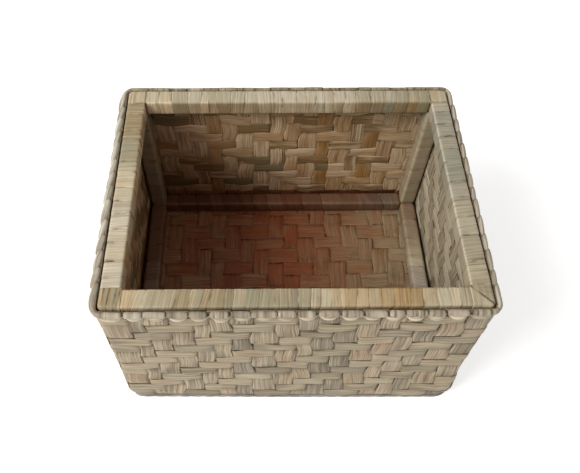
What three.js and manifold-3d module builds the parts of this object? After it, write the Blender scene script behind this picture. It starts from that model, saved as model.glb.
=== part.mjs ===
// Open woven storage box: twill-woven leaf strip over an inner frame of leaf-wound battens.
// Millimetres, +Z up, floor at z = 0, front towards -Y, long side along X.

import * as THREE from "three";
import { mergeVertices } from "three/addons/utils/BufferGeometryUtils.js";
import Module from "manifold-3d";

const wasm = await Module();
wasm.setup();

// Overall sizes, taken over the wound frame inside the weave.
const FRAME_WIDTH = 300;
const FRAME_DEPTH = 230;
const RIM_HEIGHT = 178;

// Frame members, measured over their winding.
const RAIL_WIDTH = 17;
const RIM_RAIL_HEIGHT = 16;
const FOOT_RAIL_HEIGHT = 15;
const BATTEN_EDGE = 3;

// A mortised batten keeps a third of its width as tenon, and a quarter as tenon length.
const TENON_SHARE = 1 / 3;
const TENON_REACH = 1 / 4;

// Leaf strip and the clearance left between pieces that touch.
const LEAF = 1;
const FIT = 0.3;

// Winding strips on the rim, and on the posts and foot rails.
const RIM_STRIP = 27;
const INNER_STRIP = 42;
const STRIP_GAP = 0.6;

// Weave: uprights per wall, weft rows, and the slots between strips.
const LONG_STAKE_COUNT = 18;
const SHORT_STAKE_COUNT = 14;
const STAKE_GAP = 2.2;
const WEFT_ROWS = 13;
const WEFT_GAP = 0.9;
const TWILL_FLOAT = 2;

// Woven base, whose twill starts one strip in from the left edge.
const BASE_THICKNESS = 4.2;
const BASE_START = 1;
const FLOAT_BEVEL = 1.6;
const FLOAT_RISE = 1;

// Border: folded stake ends above one row of twining.
const FOLD_DROP = 1;
const FOLD_HEIGHT = 3.2;
const FOLD_INSIDE = 1.6;
const FOLD_OUTSIDE = 3.8;
const FOLD_CHAMFER = 1.5;
const STRAND_WIDTH = 3.3;
const STITCH_BULGE = 2.2;

// Band where the stakes bend under, and the facets in each quarter bend.
const STAKE_BAND = 3;
const BEND_STEPS = 2;

// Foot cord: how far its middle stands out of the wall plane, and its facets.
const CORD_STAND = 0.9;
const CORD_SIDES = 8;

// Derived places.
const WRAP = LEAF + FIT;
const SKIN_MIDDLE = LEAF / 2 + FIT + LEAF + FIT;
const BEND_RADIUS = BATTEN_EDGE + SKIN_MIDDLE;
const FRAME_FLOOR = BASE_THICKNESS + FIT;
const FOOT_TOP = FRAME_FLOOR + FOOT_RAIL_HEIGHT;
const RIM_FLOOR = RIM_HEIGHT - RIM_RAIL_HEIGHT;
const RIM_MIDDLE = RIM_HEIGHT - RIM_RAIL_HEIGHT / 2;
const FOOT_MIDDLE = FRAME_FLOOR + FOOT_RAIL_HEIGHT / 2;
const RAIL_X = (FRAME_WIDTH - RAIL_WIDTH) / 2;
const RAIL_Y = (FRAME_DEPTH - RAIL_WIDTH) / 2;
const CLEAR_WIDTH = FRAME_WIDTH - 2 * RAIL_WIDTH;
const CLEAR_DEPTH = FRAME_DEPTH - 2 * RAIL_WIDTH;
const TENON_SIDE = (RAIL_WIDTH - 2 * WRAP) * TENON_SHARE;
const TENON_LENGTH = (RAIL_WIDTH - 2 * WRAP) * TENON_REACH;
const FOLD_FLOOR = RIM_HEIGHT - FOLD_DROP - FOLD_HEIGHT;
const STRAND_LIFT = (STRAND_WIDTH + FIT) / 2;
const TWINE_MIDDLE = FOLD_FLOOR - FIT - STRAND_LIFT - STRAND_WIDTH / 2;
const TWINE_FLOOR = TWINE_MIDDLE - STRAND_LIFT - STRAND_WIDTH / 2;
const FOOT_CORD = BASE_THICKNESS - FIT;
const BAND_FLOOR = BASE_THICKNESS + FIT;
const WEFT_FLOOR = BAND_FLOOR + STAKE_BAND + FIT;
const WEFT_PITCH = (TWINE_FLOOR - WEFT_FLOOR) / WEFT_ROWS;
const WEFT_WIDTH = WEFT_PITCH - WEFT_GAP;

const leafOutside = new THREE.MeshStandardMaterial({ color: 0xb8a78a, roughness: 0.6, metalness: 0 });
const leafUpright = new THREE.MeshStandardMaterial({ color: 0xa89672, roughness: 0.6, metalness: 0 });
const leafInside = new THREE.MeshStandardMaterial({ color: 0x8a6a42, roughness: 0.65, metalness: 0 });
const leafWound = new THREE.MeshStandardMaterial({ color: 0xb5a37f, roughness: 0.55, metalness: 0 });
const leafBorder = new THREE.MeshStandardMaterial({ color: 0xc4b79e, roughness: 0.6, metalness: 0 });
const leafCord = new THREE.MeshStandardMaterial({ color: 0x7d7563, roughness: 0.7, metalness: 0 });
const batten = new THREE.MeshStandardMaterial({ color: 0xc9a873, roughness: 0.75, metalness: 0 });
[leafOutside, leafUpright, leafInside, leafWound, leafBorder, leafCord, batten].forEach((finish) => {
  finish.flatShading = true;
});

const box = new THREE.Group();
box.name = "woven_box";

function place(name, geometry, finish) {
  const mesh = new THREE.Mesh(geometry, finish);
  mesh.name = name;
  box.add(mesh);
}

function toSolid(geometry) {
  const bare = new THREE.BufferGeometry();
  bare.setAttribute("position", geometry.getAttribute("position"));
  if (geometry.index) bare.setIndex(geometry.index);
  const merged = mergeVertices(bare, 1e-4);
  return new wasm.Manifold(new wasm.Mesh({
    numProp: 3,
    vertProperties: new Float32Array(merged.getAttribute("position").array),
    triVerts: new Uint32Array(merged.index.array),
  }));
}

function toGeometry(solid) {
  const mesh = solid.getMesh();
  const geometry = new THREE.BufferGeometry();
  geometry.setAttribute("position", new THREE.BufferAttribute(mesh.vertProperties, 3));
  geometry.setIndex(new THREE.BufferAttribute(mesh.triVerts, 1));
  geometry.computeVertexNormals();
  return geometry;
}

// Triangles from points and corners, turned outward when they enclose a negative volume.
function closedGeometry(points, corners) {
  let volume = 0;
  for (let at = 0; at < corners.length; at += 3) {
    const [a, b, c] = corners.slice(at, at + 3).map((corner) => points[corner]);
    volume += a.dot(new THREE.Vector3().crossVectors(b, c));
  }
  const facing = volume < 0 ? corners.slice().reverse() : corners;
  const geometry = new THREE.BufferGeometry().setFromPoints(points);
  geometry.setIndex(facing);
  geometry.computeVertexNormals();
  return geometry;
}

// Surface through rings of matching points: a closed loop, or a bar with flat ends.
function skinRings(rings, looped) {
  const sides = rings[0].length;
  const spans = looped ? rings.length : rings.length - 1;
  const corners = [];
  for (let span = 0; span < spans; span += 1) {
    const near = span * sides;
    const far = ((span + 1) % rings.length) * sides;
    for (let side = 0; side < sides; side += 1) {
      const next = (side + 1) % sides;
      corners.push(near + side, near + next, far + next);
      corners.push(near + side, far + next, far + side);
    }
  }
  if (!looped) {
    const last = (rings.length - 1) * sides;
    for (let side = 1; side < sides - 1; side += 1) {
      corners.push(0, side + 1, side);
      corners.push(last, last + side, last + side + 1);
    }
  }
  return closedGeometry(rings.flat(), corners);
}

function extrude(outline, depth) {
  const shape = new THREE.Shape(outline);
  return new THREE.ExtrudeGeometry(shape, { depth, bevelEnabled: false });
}

function roundedPrism(width, depth, radius, floor, top) {
  const outline = [];
  [[1, 1], [-1, 1], [-1, -1], [1, -1]].forEach(([sx, sy], quarter) => {
    for (let step = 0; step <= BEND_STEPS; step += 1) {
      const angle = (quarter + step / BEND_STEPS) * Math.PI / 2;
      const x = sx * (width / 2 - radius) + radius * Math.cos(angle);
      const y = sy * (depth / 2 - radius) + radius * Math.sin(angle);
      outline.push(new THREE.Vector2(x, y));
    }
  });
  return toSolid(extrude(outline, top - floor).translate(0, 0, floor));
}

// A square peg from a point along a unit direction.
function peg(from, along, side, length) {
  const half = side / 2;
  const square = [[-half, -half], [half, -half], [half, half], [-half, half]];
  const geometry = extrude(square.map(([x, y]) => new THREE.Vector2(x, y)), length);
  const turn = new THREE.Quaternion().setFromUnitVectors(new THREE.Vector3(0, 0, 1), along);
  return toSolid(geometry.applyQuaternion(turn).translate(from.x, from.y, from.z));
}

// Octagonal batten section: full sizes across, cut corners.
function battenSection(width, height, edge) {
  const w = width / 2;
  const h = height / 2;
  const outline = [];
  outline.push(new THREE.Vector2(w, edge - h), new THREE.Vector2(w, h - edge));
  outline.push(new THREE.Vector2(w - edge, h), new THREE.Vector2(edge - w, h));
  outline.push(new THREE.Vector2(-w, h - edge), new THREE.Vector2(-w, edge - h));
  outline.push(new THREE.Vector2(edge - w, -h), new THREE.Vector2(w - edge, -h));
  return outline;
}

const axisX = new THREE.Vector3(1, 0, 0);
const axisY = new THREE.Vector3(0, 1, 0);
const axisZ = new THREE.Vector3(0, 0, 1);

function memberFrame(along, middle) {
  const frames = {
    x: [axisY, axisZ, axisX],
    y: [axisX.clone().negate(), axisZ, axisY],
    z: [axisX, axisY, axisZ],
  };
  return new THREE.Matrix4().makeBasis(...frames[along]).setPosition(middle);
}

// A section set in by the winding keeps its cut corners parallel.
function insetEdge(inset) {
  return BATTEN_EDGE - inset * (2 - Math.SQRT2);
}

function battenCore(width, height, length, frame) {
  const outline = battenSection(width - 2 * WRAP, height - 2 * WRAP, insetEdge(WRAP));
  return toSolid(extrude(outline, length).translate(0, 0, -length / 2).applyMatrix4(frame));
}

let leastWindingGap = Infinity;

// One unbroken strip wound round a batten, its turns a set gap apart.
function winding(width, height, length, stripWidth, frame) {
  const outer = battenSection(width, height, BATTEN_EDGE);
  const inner = battenSection(width - 2 * LEAF, height - 2 * LEAF, insetEdge(LEAF));
  const turns = Math.max(1, Math.round((length - stripWidth) / (stripWidth + STRIP_GAP)));
  const strip = (length - turns * STRIP_GAP) / (turns + 1);
  const lead = strip + STRIP_GAP;
  const walked = [0];
  outer.forEach((corner, at) => {
    walked.push(walked[at] + corner.distanceTo(outer[(at + 1) % outer.length]));
  });
  const girth = walked[outer.length];
  const rings = [];
  for (let station = 0; station <= turns * outer.length; station += 1) {
    const at = station % outer.length;
    const middle = lead * (Math.floor(station / outer.length) + walked[at] / girth) + strip / 2;
    const start = middle - strip / 2 - length / 2;
    const end = middle + strip / 2 - length / 2;
    rings.push([
      new THREE.Vector3(inner[at].x, inner[at].y, start),
      new THREE.Vector3(inner[at].x, inner[at].y, end),
      new THREE.Vector3(outer[at].x, outer[at].y, end),
      new THREE.Vector3(outer[at].x, outer[at].y, start),
    ]);
  }
  for (let station = 0; station + outer.length < rings.length; station += 1) {
    const trailing = rings[station].slice(1, 3);
    const leading = [rings[station + outer.length][0], rings[station + outer.length][3]];
    trailing.forEach((point) => leading.forEach((other) => {
      leastWindingGap = Math.min(leastWindingGap, point.distanceTo(other));
    }));
  }
  return skinRings(rings, false).applyMatrix4(frame);
}

// Frame: cores first, so that tenons and mortises can be shared between them.
const cores = {};
const addCore = (name, solid) => {
  cores[name] = solid;
};
const joinTenon = (holder, socket, from, along) => {
  const root = from.clone().addScaledVector(along, -TENON_LENGTH);
  const mouth = from.clone().addScaledVector(along, -FIT);
  cores[holder] = cores[holder].add(peg(root, along, TENON_SIDE, 2 * TENON_LENGTH));
  cores[socket] = cores[socket].subtract(peg(mouth, along, TENON_SIDE + 2 * FIT, TENON_LENGTH + 2 * FIT));
};

const rimOutline = roundedPrism(
  FRAME_WIDTH - 2 * WRAP, FRAME_DEPTH - 2 * WRAP, BATTEN_EDGE - WRAP, RIM_FLOOR, RIM_HEIGHT,
);
const ends = [["front", -1], ["back", 1]];
const sides = [["left", -1], ["right", 1]];
const sideRimCore = CLEAR_DEPTH + 2 * WRAP - 2 * FIT;
const postCoreTop = RIM_FLOOR + WRAP - FIT;
const postCore = postCoreTop - FRAME_FLOOR;
const longFootCore = CLEAR_WIDTH + 2 * WRAP - 2 * FIT;
const shortFootCore = CLEAR_DEPTH + 2 * WRAP - 2 * FIT;

ends.forEach(([end, sy]) => {
  const rimFrame = memberFrame("x", new THREE.Vector3(0, sy * RAIL_Y, RIM_MIDDLE));
  const footFrame = memberFrame("x", new THREE.Vector3(0, sy * RAIL_Y, FOOT_MIDDLE));
  const rimCore = battenCore(RAIL_WIDTH, RIM_RAIL_HEIGHT, FRAME_WIDTH, rimFrame);
  addCore(`rim_batten_${end}`, rimCore.intersect(rimOutline));
  addCore(`foot_batten_${end}`, battenCore(RAIL_WIDTH, FOOT_RAIL_HEIGHT, longFootCore, footFrame));
  const clear = CLEAR_WIDTH - 2 * FIT;
  place(`rim_winding_${end}`, winding(RAIL_WIDTH, RIM_RAIL_HEIGHT, clear, RIM_STRIP, rimFrame), leafWound);
  place(
    `foot_winding_${end}`,
    winding(RAIL_WIDTH, FOOT_RAIL_HEIGHT, clear, INNER_STRIP, footFrame),
    leafInside,
  );
});

sides.forEach(([side, sx]) => {
  const rimFrame = memberFrame("y", new THREE.Vector3(sx * RAIL_X, 0, RIM_MIDDLE));
  const footFrame = memberFrame("y", new THREE.Vector3(sx * RAIL_X, 0, FOOT_MIDDLE));
  addCore(`rim_batten_${side}`, battenCore(RAIL_WIDTH, RIM_RAIL_HEIGHT, sideRimCore, rimFrame));
  addCore(`foot_batten_${side}`, battenCore(RAIL_WIDTH, FOOT_RAIL_HEIGHT, shortFootCore, footFrame));
  const clear = CLEAR_DEPTH - 2 * FIT;
  place(`rim_winding_${side}`, winding(RAIL_WIDTH, RIM_RAIL_HEIGHT, clear, RIM_STRIP, rimFrame), leafWound);
  place(
    `foot_winding_${side}`,
    winding(RAIL_WIDTH, FOOT_RAIL_HEIGHT, clear, INNER_STRIP, footFrame),
    leafInside,
  );
});

ends.forEach(([end, sy]) => sides.forEach(([side, sx]) => {
  const corner = `${end}_${side}`;
  const coreFrame = memberFrame("z", new THREE.Vector3(sx * RAIL_X, sy * RAIL_Y, FRAME_FLOOR + postCore / 2));
  addCore(`post_batten_${corner}`, battenCore(RAIL_WIDTH, RAIL_WIDTH, postCore, coreFrame));
  const woundFloor = FOOT_TOP + FIT;
  const wound = RIM_FLOOR - FIT - woundFloor;
  const woundFrame = memberFrame("z", new THREE.Vector3(sx * RAIL_X, sy * RAIL_Y, woundFloor + wound / 2));
  place(`post_winding_${corner}`, winding(RAIL_WIDTH, RAIL_WIDTH, wound, INNER_STRIP, woundFrame), leafInside);

  const outX = axisX.clone().multiplyScalar(sx);
  const outY = axisY.clone().multiplyScalar(sy);
  const rimEnd = new THREE.Vector3(sx * RAIL_X, sy * sideRimCore / 2, RIM_MIDDLE);
  joinTenon(`rim_batten_${side}`, `rim_batten_${end}`, rimEnd, outY);
  const postEnd = new THREE.Vector3(sx * RAIL_X, sy * RAIL_Y, postCoreTop);
  joinTenon(`post_batten_${corner}`, `rim_batten_${end}`, postEnd, axisZ);
  const longFootEnd = new THREE.Vector3(sx * longFootCore / 2, sy * RAIL_Y, FOOT_MIDDLE);
  joinTenon(`foot_batten_${end}`, `post_batten_${corner}`, longFootEnd, outX);
  const shortFootEnd = new THREE.Vector3(sx * RAIL_X, sy * shortFootCore / 2, FOOT_MIDDLE);
  joinTenon(`foot_batten_${side}`, `post_batten_${corner}`, shortFootEnd, outY);
}));

Object.entries(cores).forEach(([name, solid]) => place(name, toGeometry(solid), batten));

// Leaf patches folded over the four rim corners.
const capOutside = roundedPrism(FRAME_WIDTH, FRAME_DEPTH, BATTEN_EDGE, RIM_FLOOR, RIM_HEIGHT);
const capHollow = roundedPrism(
  FRAME_WIDTH - 2 * LEAF, FRAME_DEPTH - 2 * LEAF, BATTEN_EDGE - LEAF, RIM_FLOOR - LEAF, RIM_HEIGHT - LEAF,
);
const capShell = capOutside.subtract(capHollow);
ends.forEach(([end, sy]) => sides.forEach(([side, sx]) => {
  const below = new THREE.Vector3(sx * RAIL_X, sy * RAIL_Y, RIM_FLOOR - LEAF);
  const column = peg(below, axisZ, RAIL_WIDTH, RIM_RAIL_HEIGHT + 2 * LEAF);
  place(`corner_patch_${end}_${side}`, toGeometry(capShell.intersect(column)), leafWound);
}));

// Wall plane: four walls walked left to right as seen from outside, joined by quarter bends.
const walls = [
  { name: "front", along: axisX.clone(), stakes: LONG_STAKE_COUNT, run: FRAME_WIDTH, reach: FRAME_DEPTH },
  { name: "right", along: axisY.clone(), stakes: SHORT_STAKE_COUNT, run: FRAME_DEPTH, reach: FRAME_WIDTH },
  { name: "back", along: axisX.clone().negate(), stakes: LONG_STAKE_COUNT, run: FRAME_WIDTH, reach: FRAME_DEPTH },
  { name: "left", along: axisY.clone().negate(), stakes: SHORT_STAKE_COUNT, run: FRAME_DEPTH, reach: FRAME_WIDTH },
];
walls.forEach((wall) => {
  wall.out = new THREE.Vector3().crossVectors(wall.along, axisZ);
  wall.half = wall.run / 2 + SKIN_MIDDLE - BEND_RADIUS;
  wall.distance = wall.reach / 2 + SKIN_MIDDLE;
  wall.pitch = 2 * wall.half / wall.stakes;
  wall.stakeWidth = wall.pitch - STAKE_GAP;
});

function wallPoint(wall, along, offset, height) {
  const point = wall.along.clone().multiplyScalar(along);
  return point.addScaledVector(wall.out, wall.distance + offset).addScaledVector(axisZ, height);
}

function bendPoint(wall, turn, offset, height) {
  const angle = turn * Math.PI / 2;
  const radius = BEND_RADIUS + offset;
  const forward = wall.half + radius * Math.sin(angle);
  const outward = radius * Math.cos(angle) - BEND_RADIUS;
  return wallPoint(wall, forward, outward, height);
}

const stakes = walls.flatMap((wall) => Array.from({ length: wall.stakes }, (_, at) => ({
  wall,
  middle: (at + 0.5) * wall.pitch - wall.half,
})));

// A strip's section at one station: in from the wall plane, out from it, and its height band.
function stripRing(pointAt, station) {
  const low = station.height - station.width / 2;
  const high = station.height + station.width / 2;
  return [
    pointAt(station.outer, high),
    pointAt(station.outer, low),
    pointAt(station.inner, low),
    pointAt(station.inner, high),
  ];
}

function blendStations(from, to, share) {
  const mixed = {};
  ["inner", "outer", "height", "width"].forEach((key) => {
    mixed[key] = from[key] + (to[key] - from[key]) * share;
  });
  return mixed;
}

// One closed strip passing out and in among the stakes, and round the four bends.
function interlacedLoop(stationsOf) {
  const rings = [];
  stakes.forEach((stake, number) => {
    const stations = stationsOf(number);
    const next = (number + 1) % stakes.length;
    stations.forEach((station) => {
      const along = stake.middle + station.place * stake.wall.stakeWidth / 2;
      rings.push(stripRing((offset, height) => wallPoint(stake.wall, along, offset, height), station));
    });
    if (stakes[next].wall !== stake.wall) {
      const from = stations[stations.length - 1];
      const to = stationsOf(next)[0];
      const bend = BEND_RADIUS * Math.PI / 2;
      for (let step = 0; step <= BEND_STEPS; step += 1) {
        const turn = step / BEND_STEPS;
        const share = (STAKE_GAP / 2 + turn * bend) / (STAKE_GAP + bend);
        const station = blendStations(from, to, share);
        rings.push(stripRing((offset, height) => bendPoint(stake.wall, turn, offset, height), station));
      }
    }
  });
  return skinRings(rings, true);
}

const CLEAR_OF_STAKE = LEAF / 2 + FIT;
const outsidePass = { inner: CLEAR_OF_STAKE, outer: CLEAR_OF_STAKE + LEAF };
const insidePass = { inner: -CLEAR_OF_STAKE - LEAF, outer: -CLEAR_OF_STAKE };

// Twill: every row steps one stake on, floating over two stakes and under two.
function weftOutside(row, number) {
  const repeat = 2 * TWILL_FLOAT;
  const phase = (((row - number) % repeat) + repeat) % repeat;
  return phase < TWILL_FLOAT;
}

for (let row = 0; row < WEFT_ROWS; row += 1) {
  const height = WEFT_FLOOR + (row + 0.5) * WEFT_PITCH;
  const stationsOf = (number) => {
    const before = (number + stakes.length - 1) % stakes.length;
    const after = (number + 1) % stakes.length;
    const outside = weftOutside(row, number);
    const pass = { ...(outside ? outsidePass : insidePass), height, width: WEFT_WIDTH };
    const stations = [];
    const turnsIn = stakes[before].wall !== stakes[number].wall;
    const turnsOut = stakes[after].wall !== stakes[number].wall;
    if (turnsIn || weftOutside(row, before) !== outside) stations.push({ ...pass, place: -1 });
    if (turnsOut || weftOutside(row, after) !== outside) stations.push({ ...pass, place: 1 });
    return stations;
  };
  place(`weft_${String(row + 1).padStart(2, "0")}`, interlacedLoop(stationsOf), leafOutside);
}

// Border twining: two strands that change places in every slot between stakes.
["first", "second"].forEach((strand, phase) => {
  const stationsOf = (number) => {
    const outside = (number + phase) % 2 === 0;
    const pass = outside ? outsidePass : insidePass;
    const climb = outside ? STRAND_LIFT : -STRAND_LIFT;
    const start = { ...pass, height: TWINE_MIDDLE - climb, width: STRAND_WIDTH, place: -1 };
    const end = { ...pass, height: TWINE_MIDDLE + climb, width: STRAND_WIDTH, place: 1 };
    const crown = { ...pass, outer: pass.outer + STITCH_BULGE, height: TWINE_MIDDLE, place: 0 };
    crown.width = STRAND_WIDTH + STRAND_LIFT;
    return outside ? [start, crown, end] : [start, end];
  };
  place(`border_strand_${strand}`, interlacedLoop(stationsOf), leafBorder);
});

// Uprights of each wall: stakes with folded ends, joined by the band where they bend under.
function stakeComb(wall) {
  const face = LEAF / 2;
  const bandTop = BAND_FLOOR + STAKE_BAND;
  const foldTop = FOLD_FLOOR + FOLD_HEIGHT;
  const outline = [
    new THREE.Vector2(-face, BAND_FLOOR),
    new THREE.Vector2(face, BAND_FLOOR),
    new THREE.Vector2(face, FOLD_FLOOR),
    new THREE.Vector2(FOLD_OUTSIDE, FOLD_FLOOR),
    new THREE.Vector2(FOLD_OUTSIDE - FOLD_CHAMFER, foldTop),
    new THREE.Vector2(FOLD_CHAMFER - FOLD_INSIDE, foldTop),
    new THREE.Vector2(-FOLD_INSIDE, FOLD_FLOOR),
    new THREE.Vector2(-face, FOLD_FLOOR),
  ];
  const band = [
    new THREE.Vector2(-face, BAND_FLOOR),
    new THREE.Vector2(face, BAND_FLOOR),
    new THREE.Vector2(face, bandTop),
    new THREE.Vector2(-face, bandTop),
  ];
  const across = new THREE.Matrix4().makeBasis(wall.out, axisZ, wall.along.clone().negate());
  const standing = (profile, end, length) => {
    across.setPosition(wallPoint(wall, end, 0, 0));
    return toSolid(extrude(profile, length).applyMatrix4(across));
  };
  const bandHalf = wall.half - STAKE_GAP / 2;
  const own = stakes.filter((stake) => stake.wall === wall);
  return own.reduce((comb, stake) => {
    return comb.add(standing(outline, stake.middle + wall.stakeWidth / 2, wall.stakeWidth));
  }, standing(band, bandHalf, 2 * bandHalf));
}

walls.forEach((wall) => place(`stakes_${wall.name}`, toGeometry(stakeComb(wall)), leafUpright));

// The cord at the foot lies against the edge of the base, below the bend of the stakes.
const CORD_INSIDE = FOOT_CORD / 2 + FIT - CORD_STAND;

// Base: flat underneath, the twill's floats standing up from the seams between strips inside.
function wovenBase() {
  const width = FRAME_WIDTH + 2 * (SKIN_MIDDLE - CORD_INSIDE);
  const depth = FRAME_DEPTH + 2 * (SKIN_MIDDLE - CORD_INSIDE);
  const cuts = (wall, size) => Array.from({ length: wall.stakes + 1 }, (_, at) => {
    if (at === 0) return -size / 2;
    return at === wall.stakes ? size / 2 : at * wall.pitch - wall.half;
  });
  const columns = cuts(walls[0], width);
  const rows = cuts(walls[1], depth);
  const seam = BASE_THICKNESS - FLOAT_RISE;
  const points = [];
  const corners = [];
  const known = new Map();
  const corner = (x, y, z) => {
    const key = [x, y, z].map((value) => value.toFixed(4)).join(" ");
    if (!known.has(key)) {
      known.set(key, points.length);
      points.push(new THREE.Vector3(x, y, z));
    }
    return known.get(key);
  };
  const slope = (low, first, last) => {
    const turn = Math.ceil((low.length - 1) / 2);
    for (let at = 0; at < low.length - 1; at += 1) {
      corners.push(low[at], low[at + 1], at < turn ? first : last);
    }
    corners.push(low[turn], last, first);
  };
  const raise = (xs, ys) => {
    const right = xs.length - 1;
    const far = ys.length - 1;
    const lowAt = (x, y) => corner(x, y, seam);
    const topAt = (x, y, sx, sy) => corner(x + sx * FLOAT_BEVEL, y + sy * FLOAT_BEVEL, BASE_THICKNESS);
    const a = topAt(xs[0], ys[0], 1, 1);
    const b = topAt(xs[right], ys[0], -1, 1);
    const c = topAt(xs[right], ys[far], -1, -1);
    const d = topAt(xs[0], ys[far], 1, -1);
    corners.push(a, b, c, a, c, d);
    slope(xs.map((x) => lowAt(x, ys[0])), a, b);
    slope(ys.map((y) => lowAt(xs[right], y)), b, c);
    slope(xs.map((x) => lowAt(x, ys[far])).reverse(), c, d);
    slope(ys.map((y) => lowAt(xs[0], y)).reverse(), d, a);
  };
  const acrossOnTop = (column, row) => {
    const repeat = 2 * TWILL_FLOAT;
    return (((column - BASE_START + row) % repeat) + repeat) % repeat < TWILL_FLOAT;
  };
  const runs = (count, holds) => {
    const found = [];
    for (let at = 0; at < count; at += 1) {
      if (holds(at) && at > 0 && holds(at - 1)) found[found.length - 1].push(at + 1);
      else if (holds(at)) found.push([at, at + 1]);
    }
    return found;
  };
  for (let row = 0; row < rows.length - 1; row += 1) {
    runs(columns.length - 1, (column) => acrossOnTop(column, row)).forEach((run) => {
      raise(run.map((at) => columns[at]), [rows[row], rows[row + 1]]);
    });
  }
  for (let column = 0; column < columns.length - 1; column += 1) {
    runs(rows.length - 1, (row) => !acrossOnTop(column, row)).forEach((run) => {
      raise([columns[column], columns[column + 1]], run.map((at) => rows[at]));
    });
  }
  const footAt = (sx, sy) => corner(sx * width / 2, sy * depth / 2, 0);
  const foot = [footAt(-1, -1), footAt(1, -1), footAt(1, 1), footAt(-1, 1)];
  corners.push(foot[0], foot[2], foot[1], foot[0], foot[3], foot[2]);
  slope(columns.map((x) => corner(x, -depth / 2, seam)).reverse(), foot[1], foot[0]);
  slope(rows.map((y) => corner(width / 2, y, seam)).reverse(), foot[2], foot[1]);
  slope(columns.map((x) => corner(x, depth / 2, seam)), foot[3], foot[2]);
  slope(rows.map((y) => corner(-width / 2, y, seam)), foot[0], foot[3]);
  const radius = BEND_RADIUS - CORD_INSIDE;
  const outline = roundedPrism(width, depth, radius, -LEAF, BASE_THICKNESS + LEAF);
  return toGeometry(toSolid(closedGeometry(points, corners)).intersect(outline));
}

place("woven_base", wovenBase(), leafInside);

// Cord round the edge of the base, under the stakes.
const cordRings = walls.flatMap((wall) => Array.from({ length: BEND_STEPS + 1 }, (_, step) => (
  Array.from({ length: CORD_SIDES }, (__, at) => {
    const angle = (at + 0.5) * 2 * Math.PI / CORD_SIDES;
    const offset = CORD_STAND + FOOT_CORD / 2 * Math.cos(angle);
    const height = FIT + FOOT_CORD / 2 + FOOT_CORD / 2 * Math.sin(angle);
    return bendPoint(wall, step / BEND_STEPS, offset, height);
  })
)));
place("foot_cord", skinRings(cordRings, true), leafCord);

console.log(`least gap between winding turns ${leastWindingGap.toFixed(2)} mm`);

export default box;
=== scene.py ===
"""Looks of an open woven leaf-strip box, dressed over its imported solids.

Lengths are in millimetres until a mesh is made; the scene itself is in metres, with +Z up and the
front of the box towards -Y. Woven strips are laid out in wall places: distance round the box,
distance out from the middle plane of the walls, and height.
"""

import logging
import math
from dataclasses import dataclass, field, replace
from enum import Enum
from functools import reduce
from typing import Optional, Sequence

import bpy
import numpy as np
from mathutils import Matrix, Vector

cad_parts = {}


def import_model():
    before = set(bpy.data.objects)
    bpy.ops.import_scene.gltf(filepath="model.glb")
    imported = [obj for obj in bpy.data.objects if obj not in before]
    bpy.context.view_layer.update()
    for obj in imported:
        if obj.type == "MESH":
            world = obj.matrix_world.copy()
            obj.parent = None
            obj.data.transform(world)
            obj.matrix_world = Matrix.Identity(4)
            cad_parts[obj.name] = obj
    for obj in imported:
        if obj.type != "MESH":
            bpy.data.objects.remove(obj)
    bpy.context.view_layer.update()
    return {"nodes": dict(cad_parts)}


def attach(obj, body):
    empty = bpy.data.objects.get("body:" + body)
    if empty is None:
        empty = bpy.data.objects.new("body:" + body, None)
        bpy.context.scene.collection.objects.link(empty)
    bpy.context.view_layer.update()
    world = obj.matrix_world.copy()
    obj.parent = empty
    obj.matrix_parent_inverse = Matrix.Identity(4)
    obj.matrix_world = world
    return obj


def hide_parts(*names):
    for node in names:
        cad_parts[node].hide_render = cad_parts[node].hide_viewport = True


LOG = logging.getLogger("woven_box")
MM = 0.001
BODY = "root"
PATCH_SEED = 361
ROUND_WALL = (1.0, 0.0, 0.0)
OFF_WALL = (0.0, 1.0, 0.0)
UP = (0.0, 0.0, 1.0)

Array = np.ndarray
Numbers = float | Array
Values = tuple[float, ...]
Pair = tuple[float, float]
Triple = tuple[float, float, float]
Rng = np.random.Generator
Socket = bpy.types.NodeSocket


class Section(Enum):
    """Shape of a strip's cross-section."""

    LEAF = "leaf"
    ROUND = "round"


class Wall(Enum):
    """The four walls, in the order they are walked from outside, left to right."""

    FRONT = 0
    RIGHT = 1
    BACK = 2
    LEFT = 3

    @property
    def title(self) -> str:
        """The wall's word in the names of pieces."""
        return self.name.lower()

    @property
    def sign(self) -> float:
        """Side of the box's middle on which the wall stands."""
        return -1.0 if self in (Wall.FRONT, Wall.LEFT) else 1.0

    @property
    def lengthwise(self) -> bool:
        """Whether the wall runs along X."""
        return self in (Wall.FRONT, Wall.BACK)


class CornerLay(Enum):
    """How the leaf lies over a rim corner."""

    THROUGH = "through"
    MITRE = "mitre"
    PATCH = "patch"


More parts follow.
